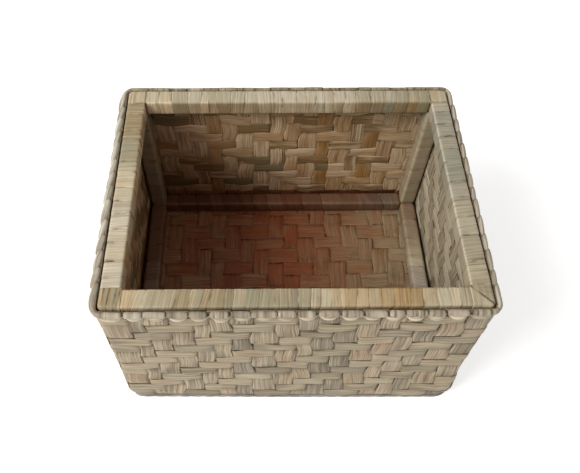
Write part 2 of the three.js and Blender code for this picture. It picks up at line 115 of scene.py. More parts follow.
@dataclass(frozen=True)
class BoxSizes:
    """Sizes that the sub-assemblies share, in millimetres.

    The bead's start and reach have one value for each wall: front, right, back and left.
    """

    frame_width: float = 300.0
    frame_depth: float = 230.0
    rim_height: float = 178.0
    rail_width: float = 17.0
    rim_rail_height: float = 16.0
    foot_rail_height: float = 15.0
    rail_round: float = 2.3
    inner_round: float = 3.6
    fit: float = 0.3
    skin_middle: float = 2.1
    bend_radius: float = 5.1
    base_thickness: float = 4.2
    stakes_long: int = 18
    stakes_short: int = 14
    weft_rows: int = 13
    weft_floor: float = 6.6
    twine_floor: float = 166.6
    twine_middle: float = 169.0
    bead_middle: float = 174.1
    bead_half_height: float = 2.7
    bead_start: Values = (0.6, 0.6, 0.6, 0.4)
    bead_reach: Values = (4.7, 3.7, 3.5, 5.6)
    cord_radius: float = 1.9
    cord_stand: float = -0.2
    cord_clear: float = 0.35
    under_bend: float = 6.0
    base_middle: float = 2.0

    @property
    def weft_pitch(self) -> float:
        """Height of one weft row."""
        return (self.twine_floor - self.weft_floor) / self.weft_rows

    @property
    def rail_x(self) -> float:
        """Distance of a side rail's middle from the box's middle."""
        return (self.frame_width - self.rail_width) / 2

    @property
    def rail_y(self) -> float:
        """Distance of a front or back rail's middle from the box's middle."""
        return (self.frame_depth - self.rail_width) / 2

    @property
    def foot_floor(self) -> float:
        """Height of the underside of the foot rails."""
        return self.base_thickness + self.fit


SIZES = BoxSizes()


def linear(colour: str) -> Values:
    """Turn a hex display colour into linear red, green and blue, with a full alpha."""
    parts = [int(colour[at:at + 2], 16) / 255 for at in (1, 3, 5)]
    return (*(part / 12.92 if part <= 0.04045 else ((part + 0.055) / 1.055) ** 2.4 for part in parts), 1.0)


def smoother(x: Array) -> Array:
    """Ease from 0 to 1 as x goes from 0 to 1."""
    x = np.clip(x, 0.0, 1.0)
    return x * x * x * (x * (x * 6 - 15) + 10)


def along_list(values: Sequence[float], share: Numbers) -> Numbers:
    """Read evenly spaced values at a share of their length."""
    return np.interp(share, np.linspace(0, 1, len(values)), values)


def wander(
    rng: Rng,
    places: Array,
    lengths: Sequence[float] = (140.0, 61.0, 27.0),
    sizes: Sequence[float] = (1.0, 0.6, 0.3),
    loop: Optional[float] = None,
) -> Array:
    """Slow seeded wandering along a length.

    Args:
        rng: Seeded source of phases.
        places: Places along the length.
        lengths: Wave lengths, long to short.
        sizes: Size of each wave.
        loop: Length after which the wandering repeats, if the strip is closed.

    Returns:
        The wandering at each place, mostly within one unit.
    """
    total = np.zeros_like(places, dtype=float)
    for length, size in zip(lengths, sizes):
        if loop is not None:
            length = loop / max(1, round(loop / length))
        total += size * np.sin(2 * math.pi * places / length + rng.uniform(0, 2 * math.pi))
    return total / sum(sizes)


class Graph:
    """Small helper for laying out a material's nodes."""

    def __init__(self, name: str) -> None:
        """Start an empty material.

        Args:
            name: Name of the material.
        """
        self.material = bpy.data.materials.new(name)
        self.material.use_nodes = True
        self.tree = self.material.node_tree
        self.tree.nodes.clear()
        output = self.tree.nodes.new("ShaderNodeOutputMaterial")
        shader = self.tree.nodes.new("ShaderNodeBsdfPrincipled")
        self.tree.links.new(shader.outputs["BSDF"], output.inputs["Surface"])
        self.surface = shader.inputs

    def feed(self, value: object, socket: Socket) -> None:
        """Link an output to a socket, or set the socket to a constant.

        Args:
            value: An output socket or a plain value.
            socket: The input that takes it.
        """
        if isinstance(value, Socket):
            self.tree.links.new(value, socket)
        else:
            socket.default_value = value

    def node(self, kind: str, output: str, inputs: dict[object, object], **settings: object) -> Socket:
        """Add a node.

        Args:
            kind: Blender's name of the node, without its beginning.
            output: Name of the output that is wanted.
            inputs: Output sockets or plain values, by the name or number of the input.
            **settings: What else is set on the node, before its inputs.

        Returns:
            The wanted output.
        """
        node = self.tree.nodes.new(f"ShaderNode{kind}")
        for name, value in settings.items():
            setattr(node, name, value)
        for name, value in inputs.items():
            self.feed(value, node.inputs[name])
        return node.outputs[output]

    def attribute(self, name: str) -> tuple[Socket, ...]:
        """Read a vector attribute of the mesh as three numbers."""
        vector = self.node("Attribute", "Vector", {}, attribute_name=name)
        return tuple(self.node("SeparateXYZ", part, {0: vector}) for part in "XYZ")

    def position(self) -> Socket:
        """Read the place of the shaded point."""
        return self.node("NewGeometry", "Position", {})

    def math(self, operation: str, first: object, second: object = 0.0, clamp: bool = False) -> Socket:
        """Combine two numbers in a way that Blender names, if asked within 0 and 1."""
        return self.node("Math", "Value", {0: first, 1: second}, operation=operation, use_clamp=clamp)

    def times(self, *values: object) -> Socket:
        """Multiply two or more numbers, in order."""
        return reduce(lambda product, value: self.math("MULTIPLY", product, value), values)

    def place(self, x: object, y: object, z: object) -> Socket:
        """Join three numbers into a place for a texture."""
        return self.node("CombineXYZ", "Vector", {0: x, 1: y, 2: z})

    def noise(self, where: Socket, detail: float, scale: float = 1.0) -> Socket:
        """Soft noise around one half, with a number of finer layers and of repeats per unit."""
        inputs = {"Vector": where, "Scale": scale, "Detail": detail, "Roughness": 0.6}
        return self.node("TexNoise", "Fac", inputs)

    def span(self, value: object, low: float, high: float, out_low: float, out_high: float) -> Socket:
        """Map a span of values to another, held at its ends."""
        ends = {"From Min": low, "From Max": high, "To Min": out_low, "To Max": out_high}
        return self.node("MapRange", "Result", {"Value": value, **ends}, clamp=True)

    def mix(self, share: object, first: object, second: object, blend: str = "MIX") -> Socket:
        """Mix a share of a second colour into a first, in a way that Blender names."""
        inputs = {"Factor": share, "A": first, "B": second}
        return self.node("Mix", "Result", inputs, data_type="RGBA", blend_type=blend)

    def ramp(self, value: object, colours: Sequence[str]) -> Socket:
        """Run a number through evenly spaced colours.

        Args:
            value: Number from 0 to 1.
            colours: Hex display colours.

        Returns:
            The colour.
        """
        node = self.tree.nodes.new("ShaderNodeValToRGB")
        stops = node.color_ramp.elements
        for at, colour in enumerate(colours):
            share = at / (len(colours) - 1)
            stop = stops[at] if at < 2 else stops.new(share)
            stop.position = share
            stop.color = linear(colour)
        self.feed(value, node.inputs["Fac"])
        return node.outputs["Color"]

    def bump(self, height: Socket, strength: float, distance: float) -> None:
        """Raise the surface by a height from 0 to 1, of which the full distance is in metres."""
        inputs = {"Height": height, "Strength": strength, "Distance": distance}
        self.feed(self.node("Bump", "Normal", inputs), self.surface["Normal"])


@dataclass(frozen=True)
class LeafFinish:
    """Dried leaf strip: toned by strip, with fibre lines along it and a satin face.

    The mesh says how the fibres lie and gives each place a tone, a warmth and a painted shade along its
    edges and dives. The tone runs through five colours. The warmth goes from the pale to the warm colours
    between 0 and 1, below 0 to bleached leaf that also serves as painted highlight, and above 1 to a
    painted shade tint. Rates are repeats per millimetre along and across the leaf.
    """

    slot: str
    pale: tuple[str, ...]
    warm: tuple[str, ...]
    line_depth: float = 0.5
    stain: float = 0.3
    roughness: float = 0.55
    relief: float = 0.0005
    streak_hue: float = 0.75
    vein_depth: float = 0.4
    edge_hold: float = 0.16
    edge_floor: float = 0.12
    painted_shade_tint: Triple = (0.36, 0.17, 0.11)
    bleach_and_highlight: str = "#b4aca0"
    shade_tint_powers: Pair = (1.15, 1.3)
    streak_rates: Pair = (0.012, 0.75)
    fibre_rates: Pair = (0.03, 2.0)
    blotch_rates: Pair = (0.022, 0.07)
    fleck_rates: Pair = (0.16, 0.5)
    patch_rates: Pair = (0.11, 0.16)
    vein_rates: Pair = (0.007, 0.17)
    vein_shift: float = 3.1
    seed_step: float = 7.31

    def _grain(self, graph: Graph, rates: Pair, detail: float, shift: float = 0.0) -> Socket:
        """Noise drawn out along the leaf, different on each strip.

        Args:
            graph: The material's nodes.
            rates: Repeats per millimetre along and across the leaf.
            detail: Number of finer layers.
            shift: Keeps one grain of a strip apart from the others.

        Returns:
            Noise around one half.
        """
        along, across, seed = graph.attribute("lay")
        strip = graph.math("ADD", graph.times(seed, self.seed_step), shift)
        where = graph.place(graph.times(along, rates[0]), graph.times(across, rates[1]), strip)
        return graph.noise(where, detail)

    def _colour(self, graph: Graph, streak: Socket, blotch: Socket) -> Socket:
        """Colour of the leaf before its lines and shades.

        Args:
            graph: The material's nodes.
            streak: Streaks along the leaf.
            blotch: Broad stains.

        Returns:
            The colour.
        """
        tone, warmth, _ = graph.attribute("hue")
        uneven = graph.math("SUBTRACT", blotch, 0.5)
        streaky = graph.math("SUBTRACT", streak, 0.5)
        lean = graph.math("ADD", graph.times(uneven, self.stain * 2.4), graph.times(streaky, self.streak_hue))
        toned = graph.math("ADD", tone, lean, clamp=True)
        warmed = graph.math("ADD", warmth, graph.times(uneven, 0.5), clamp=True)
        colour = graph.mix(warmed, graph.ramp(toned, self.pale), graph.ramp(toned, self.warm))
        # Pale leaf below warmth 0: bleached leaf, and painted highlight on rounded batten edges and lit rail
        # ends.
        bleach_and_highlight_share = graph.math("MULTIPLY", warmth, -1.0, clamp=True)
        colour = graph.mix(bleach_and_highlight_share, colour, linear(self.bleach_and_highlight))
        # Warmth above 1 darkens towards the painted shade tint.
        painted_shade_share = graph.math("SUBTRACT", warmth, 1.0, clamp=True)
        return graph.mix(painted_shade_share, colour, graph.mix(1.0, colour, (*self.painted_shade_tint, 1.0), "MULTIPLY"))

    def _shade(self, graph: Graph, streak: Socket, fibre: Socket, blotch: Socket) -> Socket:
        """Darkening between fibres, in flecks and in long thin cracks, with painted shade along edges and
        dives.

        Args:
            graph: The material's nodes.
            streak: Streaks along the leaf.
            fibre: Fine fibres.
            blotch: Broad stains.

        Returns:
            Share of light that is left.
        """
        _, warmth, edge = graph.attribute("hue")
        groove = graph.span(fibre, 0.30, 0.47, 1.0 - self.line_depth, 1.0)
        ridge = graph.span(streak, 0.30, 0.66, 1.0 - 0.6 * self.line_depth, 1.0 + 0.2 * self.line_depth)
        fleck = graph.span(self._grain(graph, self.fleck_rates, 1.0), 0.66, 0.78, 1.0, 0.80)
        patchy = graph.span(self._grain(graph, self.patch_rates, 2.0), 0.43, 0.57, self.edge_hold, 1.0)
        # Painted shade along strip edges and where strips dive, broken into patches.
        painted_edge_shade = graph.span(graph.times(edge, patchy), 0.0, 1.0, 1.0, self.edge_floor)
        vein = graph.math("SUBTRACT", self._grain(graph, self.vein_rates, 1.0, self.vein_shift), 0.5)
        split = graph.span(graph.math("ABSOLUTE", vein), 0.01, 0.06, 1.0, 0.0)
        stained = graph.span(blotch, 0.4, 0.58, 0.25, 1.0)
        cool = graph.span(warmth, 0.2, 1.0, 1.0, 0.5)
        crack = graph.span(graph.times(split, stained, cool), 0.0, 1.0, 1.0, 1.0 - self.vein_depth)
        return graph.times(graph.times(groove, ridge), graph.times(fleck, painted_edge_shade), crack)

    def material(self) -> bpy.types.Material:
        """Build the leaf material.

        Returns:
            The material, named after its slot.
        """
        graph = Graph(self.slot)
        streak = self._grain(graph, self.streak_rates, 3.0)
        fibre = self._grain(graph, self.fibre_rates, 2.0)
        blotch = self._grain(graph, self.blotch_rates, 2.0)
        shade = self._shade(graph, streak, fibre, blotch)
        # The darkening, fibre lines and painted shade alike, turns browner as it deepens.
        green, blue = (graph.math("POWER", shade, power) for power in self.shade_tint_powers)
        tinted_shade = graph.place(shade, green, blue)
        colour = graph.mix(1.0, self._colour(graph, streak, blotch), tinted_shade, "MULTIPLY")
        satin = graph.span(streak, 0.3, 0.7, self.roughness + 0.12, self.roughness - 0.10)
        graph.feed(colour, graph.surface["Base Color"])
        graph.feed(satin, graph.surface["Roughness"])
        graph.feed(0.35, graph.surface["Specular IOR Level"])
        height = graph.math("ADD", graph.times(streak, 0.6), graph.times(fibre, 0.4))
        graph.bump(height, 0.7, self.relief)
        return graph.material


@dataclass(frozen=True)
class WoodFinish:
    """Plain sawn batten wood under the winding."""

    slot: str = "batten_wood"
    light: str = "#a57d4c"
    dark: str = "#6d4a28"

    def material(self) -> bpy.types.Material:
        """Build the wood material.

        Returns:
            The material, with fine and broad grain.
        """
        graph = Graph(self.slot)
        grain = graph.noise(graph.position(), 4.0, 160.0)
        broad = graph.noise(graph.position(), 2.0, 35.0)
        blend = graph.math("ADD", graph.times(grain, 0.6), graph.times(broad, 0.4))
        colour = graph.ramp(graph.span(blend, 0.3, 0.7, 0.0, 1.0), (self.dark, self.light))
        graph.feed(colour, graph.surface["Base Color"])
        graph.feed(graph.span(grain, 0.3, 0.7, 0.8, 0.65), graph.surface["Roughness"])
        graph.bump(grain, 0.4, 0.0004)
        return graph.material


@dataclass(frozen=True)
class FloorFinish:
    """Plain pale floor with some light of its own."""

    name: str = "pale_floor"
    colour: str = "#dddcda"
    mottle: str = "#d9d8d6"
    glow: float = 0.54

    def material(self) -> bpy.types.Material:
        """Build the floor material.

        Returns:
            A matt, very faintly mottled pale material that glows.
        """
        graph = Graph(self.name)
        cloud = graph.span(graph.noise(graph.position(), 2.0, 3.0), 0.3, 0.7, 0.0, 1.0)
        graph.feed(graph.ramp(cloud, (self.mottle, self.colour)), graph.surface["Base Color"])
        graph.feed(0.9, graph.surface["Roughness"])
        graph.feed((1.0, 1.0, 1.0, 1.0), graph.surface["Emission Color"])
        graph.feed(self.glow, graph.surface["Emission Strength"])
        return graph.material


OUTSIDE_TONES = ("#776a53", "#867a60", "#a09277", "#9c876c", "#8c7653")
# The inside tones are warm browns that inner faces take as painted shade.
INSIDE_TONES = ("#877f5d", "#917046", "#e0c6a2", "#bd986c", "#a87e42")
BASE_TONES = ("#844220", "#8a4a28", "#927050", "#99896b", "#a3997f")
RIM_TONES = ("#868570", "#998e72", "#b5aa8f", "#ab9b7c", "#997b4d")
FOOT_TONES = ("#532c19", "#623822", "#6d4932", "#55483d", "#8d7050")
BORDER_TONES = ("#a39983", "#b0a48b", "#c6baa2", "#c4b29b", "#b59f7c")
CORD_TONES = ("#77736f", "#87827d", "#959089", "#8a847c", "#969086")

FINISHES = (
    LeafFinish(
        "weft_leaf", OUTSIDE_TONES, INSIDE_TONES, line_depth=0.5, streak_hue=0.5, vein_depth=0.3,
        bleach_and_highlight="#c6bea5",
    ),
    LeafFinish("stake_leaf", OUTSIDE_TONES, INSIDE_TONES, line_depth=0.64, streak_hue=0.45, bleach_and_highlight="#c0baab"),
    LeafFinish("border_leaf", BORDER_TONES, INSIDE_TONES, line_depth=0.3),
    LeafFinish("cord_leaf", CORD_TONES, CORD_TONES, line_depth=0.3, roughness=0.65),
    LeafFinish("base_leaf", OUTSIDE_TONES, BASE_TONES, line_depth=0.4, stain=0.2, streak_hue=0.3),
    LeafFinish(
        "rim_leaf", RIM_TONES, INSIDE_TONES, line_depth=0.34, stain=0.2, streak_hue=0.36,
        vein_depth=0.13, edge_hold=0.4, bleach_and_highlight="#c4b9a9",
    ),
    LeafFinish(
        "inner_leaf", RIM_TONES, FOOT_TONES, line_depth=0.22, stain=0.2, streak_hue=0.3,
        vein_depth=0.12, edge_hold=0.4, roughness=0.48, bleach_and_highlight="#a2948e",
    ),
)


@dataclass
class Strip:
    """One leaf strip, given station by station along its middle line.

    Arrays have one row per station, and a single direction or number holds for all stations. The strip's
    width lies along ``across``, its face looks along ``out``. Without ``tone_in`` both faces have one tone.
    """

    centre: Array
    half_width: Numbers
    thickness: Numbers
    tone: Numbers
    warm_out: Numbers
    warm_in: Numbers
    seed: float
    across: Array | Triple = UP
    out: Array | Triple = OFF_WALL
    bow: Numbers = 0.0
    # dive: painted shade at each station.
    dive: Numbers = 0.0
    tone_in: Optional[Numbers] = None
    tilt: float = 0.0
    pleat: float = 0.0
    pleats: float = 2.0
    edge_shade: float = 0.6
    edge_power: float = 14.0
    closed: bool = False
    grain_across: bool = False
    section: Section = Section.LEAF
    points: int = 9
    wrap: Optional["WallPlane"] = None
    edge_crowding: float = 2.2
    squareness: int = 11
    thin_edge: float = 0.18
    faces_apart: float = 40.0
    grain_stretch: float = 0.2

    def __post_init__(self) -> None:
        """Spread single directions and numbers over all stations."""
        if self.tone_in is None:
            self.tone_in = self.tone
        self.across = np.broadcast_to(self.across, self.centre.shape)
        self.out = np.broadcast_to(self.out, self.centre.shape)
        for name in ("half_width", "thickness", "tone", "tone_in", "warm_out", "warm_in", "bow", "dive"):
            setattr(self, name, np.broadcast_to(getattr(self, name), len(self.centre)))

    def surface(self) -> tuple[Array, Array, Array]:
        """Lay the cross-section along the stations.

        Returns:
            Points, lay and hue, each as stations by ring points by three.
        """
        place, face, lift, girth = self._round_ring() if self.section is Section.ROUND else self._leaf_ring()
        side = place[None, :] * self.half_width[:, None]
        points = (self.centre[:, None, :] + self.across[:, None, :] * side[:, :, None]
                  + self.out[:, None, :] * lift[:, :, None])
        if self.wrap is not None:
            points = self.wrap.wrap(points)
        step = np.linalg.norm(np.diff(self.centre, axis=0), axis=1)
        along = np.concatenate([[0.0], np.cumsum(step)])
        ones = np.ones_like(side)
        if self.grain_across:
            lay = np.stack([girth, along[:, None] * ones * self.grain_stretch, self.seed * ones], axis=-1)
        else:
            lay = np.stack([along[:, None] * ones, girth, self.seed * ones], axis=-1)
        tone = np.where(face > 0, self.tone[:, None], self.tone_in[:, None])
        warm = np.where(face > 0, self.warm_out[:, None], self.warm_in[:, None])
        # Painted shade in the seams and at the dives.
        edge = np.clip(self._painted_seam_shade(along, place) + self.dive[:, None], 0, 1)
        return points, lay, np.stack([tone, warm, edge], axis=-1)

    def _round_ring(self) -> tuple[Array, ...]:
        """Ring of a round section.

        Returns:
            Place across from -1 to 1 and face of each ring point, then lift and distance round the section,
            both as stations by ring points.
        """
        turn = 2 * math.pi * np.arange(self.points) / self.points - 0.75 * math.pi
        face = np.where(np.sin(turn) >= 0, 1.0, -1.0)
        lift = np.sin(turn)[None, :] * self.thickness[:, None] / 2
        return np.cos(turn), face, lift, turn * self.half_width[:, None]

    def _leaf_ring(self) -> tuple[Array, ...]:
        """Ring of a flat section, thinner at its edges, bowed, tilted and pleated.

        Returns:
            The same four as for a round section.
        """
        even = np.linspace(-1, 1, self.points)
        half = np.sign(even) * (1 - (1 - np.abs(even)) ** self.edge_crowding)
        place = np.concatenate([half, half[::-1]])
        face = np.concatenate([np.ones(self.points), -np.ones(self.points)])
        body = np.sqrt(np.clip(1 - np.abs(place) ** self.squareness, 0, 1))
        lift = face * (body * (1 - self.thin_edge) + self.thin_edge) * self.thickness[:, None] / 2
        lift = lift + self.bow[:, None] * (1 - place ** 2) + self.tilt * place
        waves = np.cos(math.pi * self.pleats * place + self.seed * 9.0) * (1 - place ** 4)
        girth = place[None, :] * self.half_width[:, None] + face * self.faces_apart
        return place, face, lift + self.pleat * waves, girth

    def _painted_seam_shade(self, along: Array, place: Array) -> Array:
        """Uneven painted shade along both edges of a flat strip, where it meets its neighbours.

        Args:
            along: Distance of each station.
            place: Place across the strip of each ring point, from -1 to 1.

        Returns:
            Share of darkening, as stations by ring points.
        """
        if self.section is Section.ROUND:
            return np.zeros((len(along), len(place)))
        rng = np.random.default_rng(int(self.seed * 100) + 7)
        drawn = [wander(rng, along, (41, 19, 11), (1, 1, 0.7)) for _ in range(2)]
        sides = [np.clip(0.3 + 1.1 * drift, 0, 1) for drift in drawn]
        strength = np.where(place[None, :] > 0, sides[0][:, None], sides[1][:, None])
        return self.edge_shade * strength * np.abs(place[None, :]) ** self.edge_power

    def outward(self) -> bool:
        """Compare ring order and stations with the way the strip faces.

        Returns:
            Whether the surface already faces out.
        """
        forward = self.centre[1] - self.centre[0]
        facing = float(np.dot(np.cross(self.across[0], forward), self.out[0])) > 0
        return facing if self.wrap is None else not facing


@dataclass
class Batch:
    """Surfaces gathered into one mesh, with the lay and hue that the leaf finish reads."""

    points: list[Array] = field(default_factory=list)
    quads: list[Array] = field(default_factory=list)
    lays: list[Array] = field(default_factory=list)
    hues: list[Array] = field(default_factory=list)
    caps: list[list[int]] = field(default_factory=list)
    count: int = 0

    def _take(self, points: Array, lay: Array, hue: Array) -> int:
        """Store points with their attributes.

        Args:
            points: The points.
            lay: Lay at each point.
            hue: Hue at each point.

        Returns:
            Number of the first point.
        """
        first = self.count
        self.points.append(points.reshape(-1, 3))
        self.lays.append(lay.reshape(-1, 3))
        self.hues.append(hue.reshape(-1, 3))
        self.count += points.size // 3
        return first

    def strip(self, strip: Strip) -> None:
        """Add one strip as a closed surface.

        Args:
            strip: The strip to add.
        """
        points, lay, hue = strip.surface()
        stations, ring = points.shape[:2]
        first = self._take(points, lay, hue)
        spans = stations if strip.closed else stations - 1
        at, side = np.meshgrid(np.arange(spans), np.arange(ring), indexing="ij")
        here = at * ring
        ahead = (at + 1) % stations * ring
        beside = (side + 1) % ring
        quads = np.stack([here + side, here + beside, ahead + beside, ahead + side], axis=-1)
        quads = quads.reshape(-1, 4) + first
        facing = strip.outward()
        self.quads.append(quads if facing else quads[:, ::-1])
        if not strip.closed:
            start = list(range(first, first + ring))
            end = list(range(first + (stations - 1) * ring, first + stations * ring))
            self.caps.extend([start[::-1], end] if facing else [start, end[::-1]])

    def slab(self, top: Array, under: Array, lay: Array, hue: Array) -> None:
        """Add a closed slab between two matching grids.

        Args:
            top: Grid of outer points, facing out when its first way crossed with its second way does.
            under: Matching grid of inner points.
            lay: Lay of each grid point.
            hue: Hue of each grid point.
        """
        rows, columns = top.shape[:2]
        first = self._take(np.stack([top, under]), np.stack([lay, lay]), np.stack([hue, hue]))
        number = np.arange(2 * rows * columns).reshape(2, rows, columns) + first
        for layer, flip in ((number[0], False), (number[1], True)):
            quads = np.stack([layer[:-1, :-1], layer[1:, :-1], layer[1:, 1:], layer[:-1, 1:]], axis=-1)
            quads = quads.reshape(-1, 4)
            self.quads.append(quads[:, ::-1] if flip else quads)
        sides = [number[:, 0, :-1], number[:, :-1, -1], number[:, -1, :0:-1], number[:, :0:-1, 0]]
        loop = np.concatenate(sides, axis=1)
        ahead = np.roll(loop, -1, axis=1)
        self.quads.append(np.stack([loop[0], ahead[0], ahead[1], loop[1]], axis=-1))

    def build(self, name: str) -> bpy.types.Object:
        """Make the mesh object.

        Args:
            name: Name of the object.

        Returns:
            The object, linked into the scene.
        """
        mesh = bpy.data.meshes.new(name)
        points = np.concatenate(self.points) * MM
        quads = np.concatenate(self.quads)
        mesh.from_pydata(points.tolist(), [], quads.tolist() + self.caps)
        for title, rows in (("lay", self.lays), ("hue", self.hues)):
            attribute = mesh.attributes.new(title, "FLOAT_VECTOR", "POINT")
            attribute.data.foreach_set("vector", np.concatenate(rows).astype(np.float32).ravel())
        mesh.polygons.foreach_set("use_smooth", np.ones(len(mesh.polygons), dtype=bool))
        mesh.update()
        piece = bpy.data.objects.new(name, mesh)
        bpy.context.scene.collection.objects.link(piece)
        return piece


class Dresser:
    """Places finished pieces on the box: material, slot, body and the solids each stands for."""

    def __init__(self) -> None:
        """Make every leaf finish once."""
        self.materials = {finish.slot: finish.material() for finish in FINISHES}

    def dress(self, batch: Batch, name: str, slot: str, *nodes: str) -> None:
        """Build a piece and place it.

        Args:
            batch: The piece's surfaces.
            name: Name of the piece.
            slot: The record's material slot.
            *nodes: Solids that the piece stands for.
        """
        piece = batch.build(name)
        piece.data.materials.append(self.materials[slot])
        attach(piece, BODY)
        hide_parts(*nodes)
        LOG.info("%s: %d faces, stands for %s", name, len(piece.data.polygons), ", ".join(nodes))


@dataclass
class WallPlane:
    """The middle plane of the woven wall: four straight runs joined by quarter bends.

    The foot is spread at each corner and at the middle of each wall in turn, from the front left corner on.
    Round its corners the foot is drawn in again. What lies well inside the wall stays where it is.
    """

    sizes: BoxSizes = SIZES
    foot_spread: Values = (1.0, 3.0, 4.2, 2.4, 1.0, 2.2, 1.0, 2.4)
    spread_height: float = 75.0
    corner_pull: float = 3.4
    pull_width: float = 5.0
    pull_height: float = 18.0
    still_inside: float = 9.0
    still_ease: float = 6.0
    corner_ease: float = 26.0

    def __post_init__(self) -> None:
        """Work out runs, stake places and the length all round."""
        sizes = self.sizes
        runs = (sizes.frame_width, sizes.frame_depth) * 2
        self.half = [run / 2 + sizes.skin_middle - sizes.bend_radius for run in runs]
        self.distance = [run / 2 + sizes.skin_middle for run in runs[1:] + runs[:1]]
        self.stakes = [sizes.stakes_long, sizes.stakes_short] * 2
        self.pitch = [2 * half / count for half, count in zip(self.half, self.stakes)]
        self.along = [np.array(way, float) for way in ((1, 0), (0, 1), (-1, 0), (0, -1))]
        self.out = [np.array(way, float) for way in ((0, -1), (1, 0), (0, 1), (-1, 0))]
        self.bend = sizes.bend_radius * math.pi / 2
        self.start = [0.0]
        for half in self.half:
            self.start.append(self.start[-1] + 2 * half + self.bend)
        self.length = self.start.pop()
        self.middles = np.concatenate([
            start + (np.arange(count) + 0.5) * pitch
            for start, count, pitch in zip(self.start, self.stakes, self.pitch)
        ])
        self.wall_of = np.repeat(np.arange(4), self.stakes)
        self.knots = np.ravel([
            (start - self.bend / 2, start + half) for start, half in zip(self.start, self.half)
        ])

    def locate(self, places: Array) -> tuple[Array, Array, Array]:
        """Find places round the wall.

        Args:
            places: Distances round the middle plane, from the left end of the front wall.

        Returns:
            Points and outward directions in plan, and the number of the wall at or before each.
        """
        places = np.mod(places, self.length)
        wall = np.clip(np.searchsorted(self.start, places, side="right") - 1, 0, 3)
        point = np.zeros((len(places), 2))
        facing = np.zeros((len(places), 2))
        radius = self.sizes.bend_radius
        for number, (along, out) in enumerate(zip(self.along, self.out)):
            on = wall == number
            past = places[on] - self.start[number] - 2 * self.half[number]
            angle = np.clip(past / radius, 0, math.pi / 2)
            facing[on] = np.outer(np.cos(angle), out) + np.outer(np.sin(angle), along)
            centre = along * self.half[number] + out * (self.distance[number] - radius)
            point[on] = centre + facing[on] * radius + np.outer(np.minimum(past, 0), along)
        return point, facing, wall

    def blend(self, values: Sequence[float], places: Array) -> Array:
        """Carry one value per wall round the box, easing from each to the next at the corners.

        Args:
            values: One value for each wall.
            places: Distances round the wall.

        Returns:
            The value at each place.
        """
        places = np.mod(places, self.length)
        total = np.full_like(places, values[0], dtype=float)
        for number in range(4):
            corner = self.start[number] + 2 * self.half[number] + self.bend / 2
            step = values[(number + 1) % 4] - values[number]
            total += step * smoother((places - corner) / self.corner_ease + 0.5)
            if number == 3:
                total += step * smoother((places + self.length - corner) / self.corner_ease + 0.5) - step
        return total

    def settle(self, points: Array) -> Array:
        """How far the wall is pushed out towards the foot, and drawn in round the foot's corners.

        Args:
            points: Distance round, distance out and height, one row each.

        Returns:
            Distance out at each point.
        """
        places, out, height = points.T
        spread = np.interp(places, self.knots, self.foot_spread, period=self.length)
        spread = spread * (1 - smoother(height / self.spread_height))
        half = self.length / 2
        away = np.abs(np.mod(places[:, None] - self.knots[None, ::2] + half, self.length) - half)
        drawn = self.corner_pull * np.exp(-(away.min(axis=1) / self.pull_width) ** 2)
        drawn = drawn * (1 - smoother(height / self.pull_height))
        return (spread - drawn) * smoother((out + self.still_inside) / self.still_ease)

    def wrap(self, points: Array) -> Array:
        """Bend wall places onto the box.

        Args:
            points: Distance round, distance out and height, in the last way of the array.

        Returns:
            The points in the same arrangement.
        """
        flat = points.reshape(-1, 3)
        plan, facing, _ = self.locate(flat[:, 0])
        out = flat[:, 1] + self.settle(flat)
        return np.column_stack([plan + facing * out[:, None], flat[:, 2]]).reshape(points.shape)


@dataclass
class Twill:
    """Over two, under two, each row one stake on."""

    float_length: int = 2
    base_start: int = 1

    def weft_out(self, row: int, stake: int) -> bool:
        """Whether a weft passes outside a stake."""
        return (row - stake) % (2 * self.float_length) < self.float_length

    def across_on_top(self, column: int, row: int) -> bool:
        """Whether the cross strip lies on top at a crossing of the base."""
        return (column - self.base_start + row) % (2 * self.float_length) < self.float_length


@dataclass(frozen=True)
class Passage:
    """How a strip passes over and under what it crosses, station by station."""

    side: Array
    full: Array
    # painted shade where the strip dives
    shade: Array


@dataclass(frozen=True)
class Dive:
    """The dive of a strip from one face of the weave to the other.

    A dive takes ``2 * ease`` and is mostly done ``early`` before the edge that hides it. A float is fullest
    at ``reach`` from it. The dive is darkened with painted shade, deeper at the beginning or at the end of
    the visible float, where light from above leaves one end more in shadow.
    """

    ease: float
    early: float
    reach: float
    begin_shade: float = 0.9
    end_shade: float = 0.9
    shade_width: float = 1.3
    skew: float = 1.2

    def follow(
        self,
        places: Array,
        gaps: Array,
        states: Array,
        rng: Rng,
        loop: Optional[float] = None,
    ) -> Passage:
        """Follow a strip over and under.

        Args:
            places: Places along the strip.
            gaps: Places where it may dive, between each crossing and the next.
            states: For each crossing, +1 where the strip is on the outer face and -1 where it is behind.
            rng: Seeded source of deeper and lighter shade.
            loop: Length of the strip if it is closed.

        Returns:
            The strip's passage at each place.
        """
        if loop is not None:
            gaps = np.concatenate([gaps[-1:] - loop, gaps])
            states = np.concatenate([states[-1:], states, states[:1]])
        side = np.full_like(places, states[0], dtype=float)
        nearest = np.full_like(places, 1e3, dtype=float)
        shade = np.zeros_like(places, dtype=float)
        for gap, before, after in zip(gaps, states[:-1], states[1:]):
            if before != after:
                middle = gap + self.early * (after - before) / 2
                side += (after - before) * smoother((places - middle) / (2 * self.ease) + 0.5)
                away = np.abs(places - gap)
                nearest = np.minimum(nearest, away)
                # Painted shade at each dive, of random depth, deeper at one end of the float.
                depth = self.begin_shade if after > before else self.end_shade
                depth *= rng.uniform(0.2, 1.0) ** self.skew
                shade = np.maximum(shade, depth * np.exp(-(away / self.shade_width) ** 2))
        full = np.sin(math.pi / 2 * np.clip(nearest / self.reach, 0, 1))
        return Passage(side, full, shade)


def between(gaps: Array, spacing: Sequence[float]) -> Array:
    """Stations at shares of the way from each gap to the next, without the last gap."""
    return (gaps[:-1, None] + np.diff(gaps)[:, None] * np.array(spacing)[None, :]).ravel()


